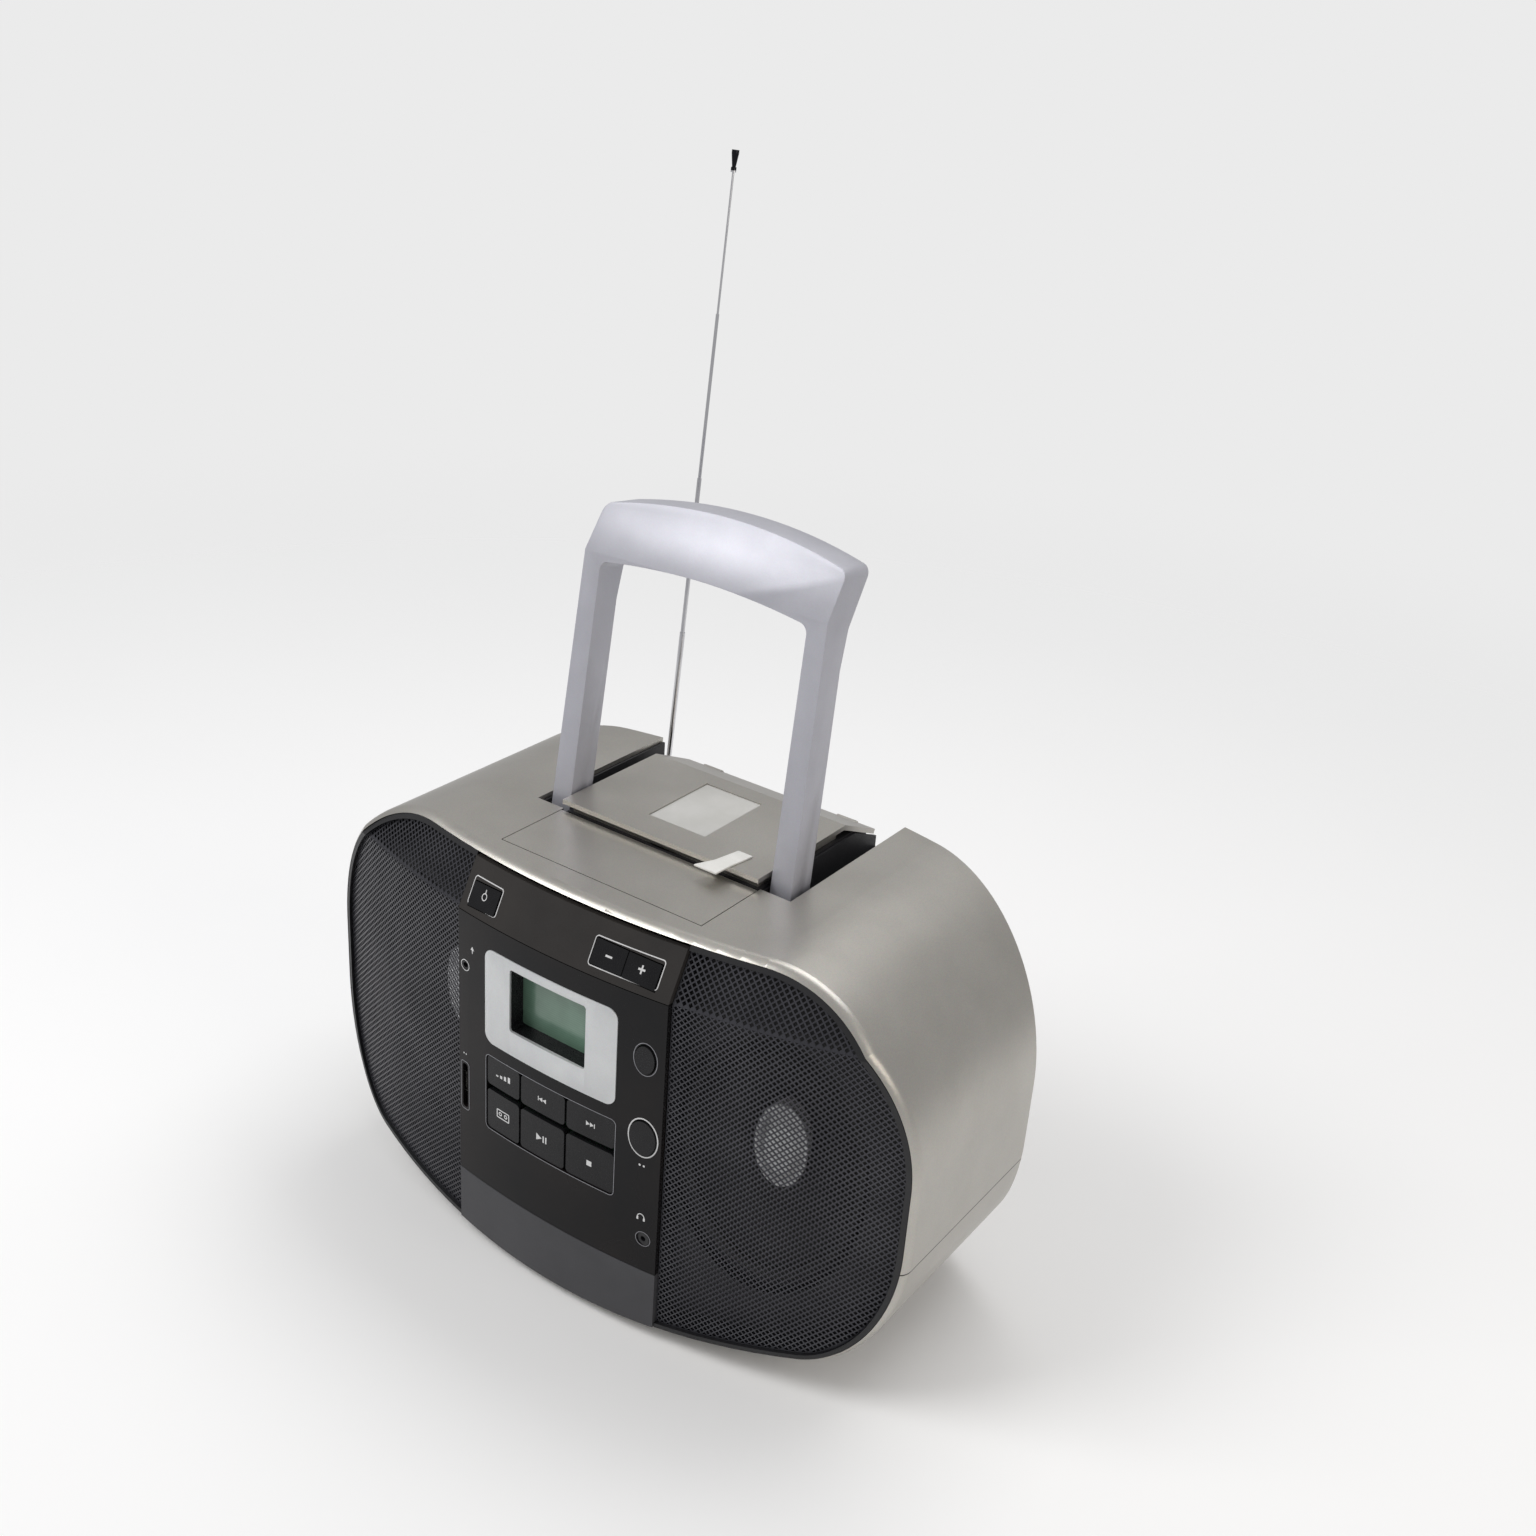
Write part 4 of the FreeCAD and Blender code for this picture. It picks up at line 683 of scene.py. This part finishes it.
# ---------------------------------------------------------------- speaker grilles
@dataclass
class SpeakerGrilles:
    """Two bowed sheets of perforated steel with turned-back rims. Millimetres."""

    pitch: float = 2.8          # real holes are near 1.5, drawn coarser so that they show
    bar: float = 0.8
    sheet: float = 0.5
    depth: float = 3.0
    rim: float = 12.0
    border: float = 6.6
    inner_x: float = 79.0
    outline_steps: int = 14
    top_z: float = 272.0
    bottom_z: float = 2.5
    bow: float = 19.5
    top_corner: tuple[float, float] = (100.0, 113.0)
    bottom_corner: tuple[float, float] = (54.0, 96.0)
    blank_half: float = 190.0
    blank_centre: tuple[float, float, float] = (147.0, 0.0, 138.0)

    def outline(self) -> list[Vector]:
        """Draw the grille's outer edge from the top round to the belly.

        Returns:
            Its points, as (x, z).
        """
        i = self.border
        hw = FRONT.half_width - i
        top = self.top_z - i
        bottom = self.bottom_z + i
        tx, tz = (c - i for c in self.top_corner)
        bx, bz = (c - i for c in self.bottom_corner)
        x0, z0 = hw - bx, bottom + self.bow
        bow_r = (x0 ** 2 + self.bow ** 2) / (2 * self.bow)
        beta = math.asin(x0 / bow_r)
        k = CIRCLE_POLE
        shoulder = ((hw - tx, top), (hw - tx + k * tx, top), (hw, top - tz + k * tz), (hw, top - tz))
        hip = ((hw, z0 + bz), (hw, z0 + bz - k * bz),
               (x0 + k * bx * math.cos(beta), z0 + k * bx * math.sin(beta)), (x0, z0))
        points = [Vector((0, top))]
        for poles in (shoulder, hip):
            for n in range(self.outline_steps + 1):
                t = n / self.outline_steps
                share = ((1 - t) ** 3, 3 * t * (1 - t) ** 2, 3 * t * t * (1 - t), t ** 3)
                points.append(sum((Vector(p) * s for p, s in zip(poles, share)), Vector((0, 0))))
        for n in range(1, 9):
            x = x0 * (1 - n / 8)
            points.append(Vector((x, bottom + bow_r - math.sqrt(bow_r ** 2 - x ** 2))))
        return points

    def sheet_mesh(self) -> bmesh.types.BMesh:
        """Right grille as a flat sheet with its holes and rim, then laid on the front.

        Returns:
            The mesh, in millimetres.
        """
        bm = bmesh.new()
        count = int(2 * self.blank_half / self.pitch)
        place = Matrix.Translation(self.blank_centre) @ Matrix.Rotation(math.pi / 4, 4, "Y") @ Matrix.Rotation(
            math.pi / 2, 4, "X")
        bmesh.ops.create_grid(bm, x_segments=count, y_segments=count, size=self.blank_half, matrix=place)
        edge = self.outline()
        cuts = [(Vector((self.inner_x, 0, 0)), Vector((-1, 0, 0)))]
        for a, b in zip(edge, edge[1:]):
            run = b - a
            if run.length > 1e-6:
                cuts.append((Vector((a.x, 0, a.y)), Vector((-run.y, 0, run.x))))
        for point, normal in cuts:
            everything = bm.verts[:] + bm.edges[:] + bm.faces[:]
            bmesh.ops.bisect_plane(bm, geom=everything, dist=1e-4, plane_co=point, plane_no=normal,
                                   clear_outer=True)
        everything = bm.verts[:] + bm.edges[:] + bm.faces[:]
        bmesh.ops.bisect_plane(bm, geom=everything, dist=1e-4, plane_co=(0, 0, FRONT.crease_z),
                               plane_no=(0, 0, 1))
        skin = bm.faces[:]
        border = [e for e in bm.edges if e.is_boundary]
        turned = bmesh.ops.extrude_edge_only(bm, edges=border)["geom"]
        back = [g for g in turned if isinstance(g, bmesh.types.BMVert)]
        bmesh.ops.translate(bm, vec=(0, self.rim, 0), verts=back)
        whole = self.pitch ** 2 * 0.5
        cells = [f for f in skin if f.calc_area() > whole]
        bmesh.ops.inset_individual(bm, faces=cells, thickness=self.bar / 2, use_even_offset=True)
        bmesh.ops.delete(bm, geom=cells, context="FACES_ONLY")
        FRONT.wrap(bm, self.depth)
        return bm

    def build(self) -> list[bpy.types.Object]:
        """Make both grilles.

        Returns:
            The two pieces.
        """
        made = []
        for side, node in ((1, "right_grille"), (-1, "left_grille")):
            bm = self.sheet_mesh()
            if side < 0:
                bmesh.ops.scale(bm, vec=(-1, 1, 1), verts=bm.verts)
                bmesh.ops.reverse_faces(bm, faces=bm.faces)
            piece = finish_piece(bm, f"{node}_mesh", GRILLE_BLACK, CABINET, (node,))
            thick = piece.modifiers.new("sheet", "SOLIDIFY")
            thick.thickness = self.sheet * MM
            thick.offset = -1.0
            made.append(piece)
        return made


# ---------------------------------------------------------------- loudspeakers
@dataclass
class Loudspeakers:
    """Rolled surrounds and the bright rings round the dust caps, on both drivers. Millimetres."""

    centre_x: float = 136.0
    centre_z: float = 138.4
    half: tuple[float, float] = (60.0, 88.0)
    roll: float = 4.2
    cap: tuple[float, float] = (15.0, 27.0)
    cap_ring: float = 1.3
    roll_gap: float = 1.5
    ring_gap: float = 0.4
    roll_y: float = 4.5
    ring_y: float = 15.2
    flange_depth: float = 22.0
    flange_reach: float = 66.0
    flange_gap: float = 0.3

    def oval_ring(self, half: tuple[float, float], tube: float, y: float, side: int) -> bmesh.types.BMesh:
        """A round-section ring bent to an oval.

        Args:
            half: Half width and half height of its middle line.
            tube: Radius of its section.
            y: Where it stands.
            side: 1 for the right driver, -1 for the left.

        Returns:
            The mesh, in millimetres.
        """
        bm = bmesh.new()
        start = Matrix.Translation((half[0], 0, 0))
        made = bmesh.ops.create_circle(bm, segments=14, radius=tube, matrix=start)
        section = list({e for v in made["verts"] for e in v.link_edges}) + made["verts"]
        bmesh.ops.spin(bm, geom=section, cent=(0, 0, 0), axis=(0, 1, 0), angle=math.tau, steps=72,
                       use_merge=True)
        stretch = half[1] / half[0]
        for v in bm.verts:
            radial = Vector((v.co.x, v.co.z))
            length = radial.length
            off = length - half[0]
            unit = radial / length
            v.co.x = unit.x * (half[0] + off)
            v.co.z = unit.y * (half[0] * stretch + off)
        bmesh.ops.recalc_face_normals(bm, faces=bm.faces)
        bmesh.ops.translate(bm, vec=(0, y, self.centre_z), verts=bm.verts)
        bmesh.ops.transform(bm, matrix=FRONT.turn(self.centre_x, side), verts=bm.verts)
        return bm

    def build(self) -> list[bpy.types.Object]:
        """Make the surrounds and rings.

        Returns:
            The pieces.
        """
        made = []
        for side, word in ((1, "right"), (-1, "left")):
            roll = tuple(h - self.roll - self.roll_gap for h in self.half)
            bm = self.oval_ring(roll, self.roll, self.seat_y() + self.roll_y, side)
            made.append(finish_piece(bm, f"{word}_woofer_surround", RUBBER, CABINET))
            ring = tuple(c + self.ring_gap for c in self.cap)
            bm = self.oval_ring(ring, self.cap_ring, self.seat_y() + self.ring_y, side)
            made.append(finish_piece(bm, f"{word}_dust_cap_ring", CAP_SILVER, CABINET))
        return made

    def seat_y(self) -> float:
        """Find the drivers' flange.

        Returns:
            Its Y at the middle of the front.
        """
        bowed = self.flange_reach ** 2 / (2 * FRONT.radius)
        return FRONT.front_y + self.flange_depth + bowed + self.flange_gap


# ---------------------------------------------------------------- marks on the keys
class Sign(Enum):
    """Plain signs printed on the keys and beside the sockets."""

    PLAY_PAUSE = "play_pause"
    STOP = "stop"
    SKIP_BACK = "skip_back"
    SKIP_FORWARD = "skip_forward"
    BARS = "bars"
    TAPE = "tape"
    PLUS = "plus"
    MINUS = "minus"
    POWER = "power"
    HEADPHONES = "headphones"
    DOTS = "dots"
    ARROW = "arrow"


@dataclass
class SignMaker:
    """Draws signs as thin raised ink, each about one unit tall before it is scaled."""

    ink: float = 0.08

    def bar(self, bm: bmesh.types.BMesh, x: float, z: float, w: float, h: float) -> None:
        """Add an upright or level bar.

        Args:
            bm: The mesh.
            x: Its middle.
            z: Its middle.
            w: Its width.
            h: Its height.
        """
        flat_rectangle(bm, x - w / 2, x + w / 2, z - h / 2, z + h / 2)

    def disc(self, bm: bmesh.types.BMesh, x: float, z: float, r: float, sides: int = 20,
             turn: float = 0.0) -> None:
        """Add a filled disc or triangle.

        Args:
            bm: The mesh.
            x: Its middle.
            z: Its middle.
            r: Its radius.
            sides: Number of sides.
            turn: Turn in degrees.
        """
        place = Matrix.Translation((x, 0, z)) @ Matrix.Rotation(math.radians(turn), 4, "Y") @ Matrix.Rotation(
            math.pi / 2, 4, "X")
        bmesh.ops.create_circle(bm, cap_ends=True, segments=sides, radius=r, matrix=place)

    def hoop(self, bm: bmesh.types.BMesh, x: float, z: float, rx: float, rz: float, line: float,
             cut_z: float | None = None) -> None:
        """Add an oval line, cut off below a height if one is given.

        Args:
            bm: The mesh.
            x: Its middle.
            z: Its middle.
            rx: Half width.
            rz: Half height.
            line: Width of the line.
            cut_z: Height below which nothing is left.
        """
        place = Matrix.Translation((x, 0, z)) @ Matrix.Diagonal((rx, 1, rz, 1)) @ Matrix.Rotation(
            math.pi / 2, 4, "X")
        made = bmesh.ops.create_circle(bm, cap_ends=True, segments=32, radius=1.0, matrix=place)
        face = made["verts"][0].link_faces[0]
        ring = cut_middle(bm, [face], line)
        if cut_z is not None:
            part = {v for f in ring if f.is_valid for v in f.verts}
            edges = {e for v in part for e in v.link_edges}
            bmesh.ops.bisect_plane(bm, geom=list(part) + list(edges) + [f for f in ring if f.is_valid],
                                   plane_co=(0, 0, cut_z), plane_no=(0, 0, -1), clear_outer=True)

    def draw(self, sign: Sign) -> bmesh.types.BMesh:
        """Draw one sign flat.

        Args:
            sign: Which one.

        Returns:
            The mesh, about one unit tall.
        """
        bm = bmesh.new()
        if sign is Sign.PLAY_PAUSE:
            self.disc(bm, -0.55, 0, 0.52, 3, 90)
            self.bar(bm, 0.22, 0, 0.18, 0.86)
            self.bar(bm, 0.60, 0, 0.18, 0.86)
        elif sign is Sign.STOP:
            self.bar(bm, 0, 0, 0.9, 0.9)
        elif sign in (Sign.SKIP_BACK, Sign.SKIP_FORWARD):
            way = 1 if sign is Sign.SKIP_FORWARD else -1
            for x in (-0.55, 0.25):
                self.disc(bm, way * x, 0, 0.5, 3, 90 * way)
            self.bar(bm, way * 0.88, 0, 0.16, 0.86)
        elif sign is Sign.BARS:
            for n in range(4):
                self.bar(bm, -0.75 + 0.5 * n, -0.4 + 0.12 * (n + 1), 0.28, 0.24 * (n + 1))
        elif sign is Sign.TAPE:
            cut_middle(bm, flat_rectangle(bm, -0.85, 0.85, -0.5, 0.5, 0.12), 0.12)
            for x in (-0.36, 0.36):
                self.hoop(bm, x, 0.02, 0.22, 0.22, 0.10)
        elif sign is Sign.PLUS:
            self.bar(bm, 0, 0, 0.9, 0.2)
            self.bar(bm, 0, 0.28, 0.2, 0.34)
            self.bar(bm, 0, -0.28, 0.2, 0.34)
        elif sign is Sign.MINUS:
            self.bar(bm, 0, 0, 0.9, 0.2)
        elif sign is Sign.POWER:
            self.hoop(bm, 0, -0.05, 0.45, 0.45, 0.11)
            self.bar(bm, 0, 0.60, 0.12, 0.40)
        elif sign is Sign.HEADPHONES:
            self.hoop(bm, 0, -0.1, 0.5, 0.55, 0.11, -0.1)
            for x in (-0.44, 0.44):
                self.bar(bm, x, -0.3, 0.24, 0.42)
        elif sign is Sign.DOTS:
            self.disc(bm, -0.35, 0, 0.18, 12)
            self.disc(bm, 0.35, 0, 0.18, 12)
        elif sign is Sign.ARROW:
            self.disc(bm, 0, 0.2, 0.42, 3, 0)
            self.bar(bm, 0, -0.3, 0.16, 0.5)
        return bm

    def print_on(self, sign: Sign, name: str, body: str, x: float, z: float, height: float,
                 depth: float, finish: Finish = INK_WHITE, wide: float = 1.0) -> bpy.types.Object:
        """Print a sign on the front.

        Args:
            sign: Which one.
            name: The piece's name.
            body: The body that it rides on.
            x: Its middle across.
            z: Its middle's height.
            height: How tall it is.
            depth: Depth of the ground below the front surface.
            finish: Its ink.
            wide: How much wider than tall it is drawn.

        Returns:
            The piece.
        """
        bm = self.draw(sign)
        bmesh.ops.remove_doubles(bm, verts=bm.verts, dist=1e-5)
        bmesh.ops.scale(bm, vec=(height * wide, 1, height), verts=bm.verts)
        raised(bm, bm.faces[:], self.ink)
        bmesh.ops.translate(bm, vec=(x, -0.01, z), verts=bm.verts)
        FRONT.wrap(bm, depth)
        return finish_piece(bm, name, finish, body)


@dataclass(frozen=True)
class Line:
    """A thin line round something on the front: a rounded rectangle, or an oval when it has no corners."""

    name: str
    x: tuple[float, float]
    z: tuple[float, float]
    corner: float | None
    width: float
    ink: Finish
    height: float = 0.15
    depth: float = 0.0

    def build(self) -> bpy.types.Object:
        """Make the line.

        Returns:
            The piece.
        """
        bm = bmesh.new()
        if self.corner is None:
            maker = SignMaker()
            mid = (sum(self.x) / 2, sum(self.z) / 2)
            half = ((self.x[1] - self.x[0]) / 2, (self.z[1] - self.z[0]) / 2)
            maker.hoop(bm, *mid, *half, self.width)
            raised(bm, bm.faces[:], self.height)
        else:
            outline_strip(bm, *self.x, *self.z, self.corner, self.width, self.height)
        FRONT.wrap(bm, self.depth - 0.02)
        return finish_piece(bm, self.name, self.ink, CABINET)


LINES: tuple[Line, ...] = (
    Line("key_pad_line", (-54.2, 48.2), (93.8, 148.2), 3.6, 0.40, INK_GREY),
    Line("power_line", (-73.4, -48.6), (242.2, 258.0), 2.0, 0.50, INK_WHITE),
    Line("volume_line", (22.6, 69.4), (242.2, 258.0), 2.0, 0.50, INK_WHITE),
    Line("sound_line", (58.0, 74.0), (186.6, 208.4), None, 0.45, INK_GREY),
    Line("surround_line", (56.4, 76.8), (130.8, 157.8), None, 0.80, INK_WHITE),
    Line("phones_line", (64.4, 74.6), (67.9, 78.1), None, 0.35, INK_GREY),
    Line("line_in_line", (-76.4, -68.8), (197.2, 204.8), None, 0.45, INK_WHITE),
    Line("usb_line", (-77.4, -69.4), (96.2, 131.8), 2.4, 0.40, INK_GREY),
)


@dataclass
class PanelPrint:
    """All the marks and thin lines on the front panel. Millimetres."""

    key_depth: float = 0.5
    columns: tuple = ((-53.0, -25.6), (-24.0, 10.6), (12.2, 47.0))
    upper: tuple[float, float] = (127.0, 147.0)
    lower: tuple[float, float] = (95.0, 123.0)
    power_x: tuple[float, float] = (-72.0, -50.0)
    volume_x: tuple[float, float] = (24.0, 68.0)
    strip_z: float = 250.1
    strip_key: float = 15.0

    def build(self) -> list[bpy.types.Object]:
        """Print everything.

        Returns:
            The pieces.
        """
        sign = SignMaker()
        mid = [sum(c) / 2 for c in self.columns]
        up = sum(self.upper) / 2
        low = sum(self.lower) / 2
        d = self.key_depth
        volume = [self.volume_x[0] + (self.volume_x[1] - self.volume_x[0]) * s for s in (0.25, 0.75)]
        power = sum(self.power_x) / 2
        made = [
            sign.print_on(Sign.BARS, "band_sign", "band_key", mid[0], up, 4.2, d, wide=1.6),
            sign.print_on(Sign.SKIP_BACK, "skip_back_sign", "skip_back_key", mid[1], up, 3.6, d),
            sign.print_on(Sign.SKIP_FORWARD, "skip_forward_sign", "skip_forward_key", mid[2], up, 3.6, d),
            sign.print_on(Sign.TAPE, "tape_sign", "tape_key", mid[0], low, 6.4, d),
            sign.print_on(Sign.PLAY_PAUSE, "play_sign", "play_key", mid[1], low, 5.4, d),
            sign.print_on(Sign.STOP, "stop_sign", "stop_key", mid[2], low, 4.0, d),
            sign.print_on(Sign.MINUS, "volume_down_sign", "volume_down_key", volume[0], self.strip_z, 5.0, -0.7),
            sign.print_on(Sign.PLUS, "volume_up_sign", "volume_up_key", volume[1], self.strip_z, 5.0, -0.7),
            sign.print_on(Sign.POWER, "power_sign", "power_key", power, self.strip_z, 4.6, -0.7),
            sign.print_on(Sign.HEADPHONES, "headphones_sign", CABINET, 67.5, 88.5, 5.0, 0.0),
            sign.print_on(Sign.DOTS, "surround_sign", CABINET, 66.6, 125.0, 4.0, 0.0),
            sign.print_on(Sign.ARROW, "line_in_sign", CABINET, -66.0, 214.0, 4.2, 0.0),
            sign.print_on(Sign.DOTS, "usb_sign", CABINET, -73.4, 137.5, 3.0, 0.0),
        ]
        return made + [line.build() for line in LINES]


@dataclass
class DisplayReveal:
    """Dark liner inside the display's tunnel. Millimetres."""

    x: tuple[float, float] = (-33.2, 25.1)
    z: tuple[float, float] = (173.7, 216.2)
    wall: float = 0.35
    front: float = 0.9
    back_y: float = -100.3

    def build(self) -> list[bpy.types.Object]:
        """Make the liner.

        Returns:
            The piece, in a list.
        """
        bm = bmesh.new()
        gap = 0.03
        faces = flat_rectangle(bm, self.x[0] + gap, self.x[1] - gap, self.z[0] + gap, self.z[1] - gap, 1.9)
        ring = cut_middle(bm, faces, self.wall)
        front = {v for f in ring for v in f.verts}
        grown = bmesh.ops.extrude_face_region(bm, geom=ring, use_keep_orig=True)
        back = [g for g in grown["geom"] if isinstance(g, bmesh.types.BMVert)]
        for v in front:
            v.co.y = FRONT.y_at(v.co.x, v.co.z, self.front)
        for v in back:
            v.co.y = self.back_y
        bmesh.ops.recalc_face_normals(bm, faces=bm.faces)
        return [finish_piece(bm, "display_reveal", KEY_BLACK, CABINET)]


# ---------------------------------------------------------------- the scene
@dataclass
class EdgedCopies:
    """Frame nodes whose outer edges catch the light: copies with small rounded edges. Millimetres."""

    nodes: tuple = (("handle", "handle", 1.2), ("lift_tab", "cd_lid", 0.4), ("lcd_bezel", CABINET, 0.4))
    fold_deg: float = 35.0

    def build(self, sources: dict[str, bpy.types.Object], slots: dict[str, str]) -> list[bpy.types.Object]:
        """Make the copies.

        Args:
            sources: The frame's nodes by name.
            slots: The record's slot of each node.

        Returns:
            The pieces.
        """
        made = []
        for node, body, width in self.nodes:
            bm = node_copy(sources[node])
            sharp = [e for e in bm.edges if len(e.link_faces) == 2
                     and e.calc_face_angle(0.0) > math.radians(self.fold_deg)]
            bmesh.ops.bevel(bm, geom=sharp, offset=width * MM, offset_type="OFFSET", segments=2, profile=0.5,
                            affect="EDGES", clamp_overlap=True, material=-1)
            slot = slots[node]
            made.append(finish_piece(bm, f"{node}_edged", SLOT_FINISH[slot], body, (node,), scale=1.0))
        return made


@dataclass
class Studio:
    """Pale floor, soft lamps and the camera."""

    eye: tuple[float, float, float] = (0.5569, -0.7443, 0.7612)
    right: tuple[float, float, float] = (0.8107, 0.5817, 0.0662)
    down: tuple[float, float, float] = (0.2967, -0.3109, -0.9029)
    ahead: tuple[float, float, float] = (-0.5046, 0.7517, -0.4246)
    lens_mm: float = 40.83
    shift: tuple[float, float] = (0.0029, -0.0046)

    def camera(self) -> None:
        """Place the camera."""
        data = bpy.data.cameras.new("camera")
        data.lens = self.lens_mm
        data.sensor_width = 36.0
        data.shift_x, data.shift_y = self.shift
        data.clip_start = 0.02
        data.clip_end = 60.0
        eye = bpy.data.objects.new("camera", data)
        axes = Matrix((self.right, [-v for v in self.down], [-v for v in self.ahead])).transposed()
        eye.matrix_world = Matrix.Translation(self.eye) @ axes.to_4x4()
        bpy.context.scene.collection.objects.link(eye)
        bpy.context.scene.camera = eye

    def lamp(self, name: str, place: tuple, aim: tuple, size: tuple[float, float], power: float,
             colour: str = "#ffffff") -> None:
        """Add a soft rectangular lamp.

        Args:
            name: Its name.
            place: Where it hangs.
            aim: The point that it faces.
            size: Its width and height in metres.
            power: In watts.
            colour: Its colour.
        """
        data = bpy.data.lights.new(name, "AREA")
        data.shape = "RECTANGLE"
        data.size, data.size_y = size
        data.energy = power
        data.color = linear(colour)[:3]
        lamp = bpy.data.objects.new(name, data)
        way = Vector(aim) - Vector(place)
        lamp.matrix_world = Matrix.Translation(place) @ way.to_track_quat("-Z", "Y").to_matrix().to_4x4()
        bpy.context.scene.collection.objects.link(lamp)

    def floor(self) -> None:
        """Lay a pale floor that fades into the surroundings."""
        bm = bmesh.new()
        bmesh.ops.create_circle(bm, cap_ends=True, segments=96, radius=2.6)
        mesh = bpy.data.meshes.new("floor")
        bm.to_mesh(mesh)
        bm.free()
        floor = bpy.data.objects.new("floor", mesh)
        bpy.context.scene.collection.objects.link(floor)
        paper = Finish("white_paper_floor", "#fbfbfb", "#f9f9f9", 0.9, 0.02, cloud_mm=900, grain_mm=4).material()
        tree = paper.node_tree
        out = next(n for n in tree.nodes if n.type == "OUTPUT_MATERIAL")
        shader = out.inputs["Surface"].links[0].from_socket
        place = add_node(tree, "ShaderNodeTexCoord").outputs["Object"]
        reach = add_node(tree, "ShaderNodeVectorMath", {"operation": "LENGTH"}, {0: place})
        fade = add_node(tree, "ShaderNodeMapRange", {"interpolation_type": "SMOOTHSTEP"}, {
            "Value": reach.outputs["Value"], "From Min": 0.35, "From Max": 1.9})
        clear = add_node(tree, "ShaderNodeBsdfTransparent")
        mix = add_node(tree, "ShaderNodeMixShader", inputs={0: fade.outputs[0], 1: shader, 2: clear.outputs[0]})
        tree.links.new(mix.outputs[0], out.inputs["Surface"])
        mesh.materials.append(paper)

    def sky(self) -> None:
        """Even white surroundings, brighter to the eye than as a lamp."""
        world = bpy.data.worlds.new("surroundings")
        world.use_nodes = True
        tree = world.node_tree
        tree.nodes.clear()
        path = add_node(tree, "ShaderNodeLightPath")
        lit = add_node(tree, "ShaderNodeBackground", inputs={"Color": linear("#f6f6f7"), "Strength": 0.50})
        seen = add_node(tree, "ShaderNodeBackground", inputs={"Color": linear("#ebebeb"), "Strength": 1.0})
        mix = add_node(tree, "ShaderNodeMixShader", inputs={
            0: path.outputs["Is Camera Ray"], 1: lit.outputs[0], 2: seen.outputs[0]})
        add_node(tree, "ShaderNodeOutputWorld", inputs={"Surface": mix.outputs[0]})
        bpy.context.scene.world = world

    def build(self) -> None:
        """Set the whole scene."""
        self.camera()
        self.floor()
        self.sky()
        middle = (0.0, 0.0, 0.15)
        self.lamp("key_softbox", (-1.1, -1.2, 2.0), middle, (1.2, 1.2), 25.0)
        self.lamp("top_softbox", (0.1, 0.9, 2.2), middle, (1.8, 0.9), 15.0)
        self.lamp("side_softbox", (2.0, -0.2, 1.1), middle, (0.9, 1.3), 7.0, "#fff6ea")


def dress_nodes(frame: dict, slots: dict[str, str]) -> None:
    """Give every frame node its finish.

    Args:
        slots: The record's slot of each node.
    """
    for node, piece in frame["nodes"].items():
        finish = SLOT_FINISH[slots[node]]
        if node in ("upper_cabinet", "lower_cabinet"):
            finish = CABINET_SILVER
        if node == "antenna_tube_4":
            finish = replace(TIP_CHROME, tip_z_mm=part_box(node)[1].z / MM - TIP_LENGTH_MM)
        piece.data.materials.clear()
        piece.data.materials.append(finish.material())


def main() -> None:
    """Build the player and its scene."""
    logging.basicConfig(level=logging.INFO, format="%(message)s")
    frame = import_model()
    slots = {s["node"]: s["material_slot"] for s in frame["record"]["subparts"]}
    dress_nodes(frame, slots)
    builders: list[tuple[str, Callable[[], list[bpy.types.Object]]]] = [
        ("grilles", SpeakerGrilles().build),
        ("loudspeakers", Loudspeakers().build),
        ("print", PanelPrint().build),
        ("display", DisplayReveal().build),
        ("edged copies", lambda: EdgedCopies().build(frame["nodes"], slots)),
    ]
    for word, build in builders:
        for piece in build():
            log.info("%s: %s, %d faces", word, piece.name, len(piece.data.polygons))
    Studio().build()
    bpy.context.scene.view_settings.view_transform = "Standard"


if __name__ == "__main__":
    main()
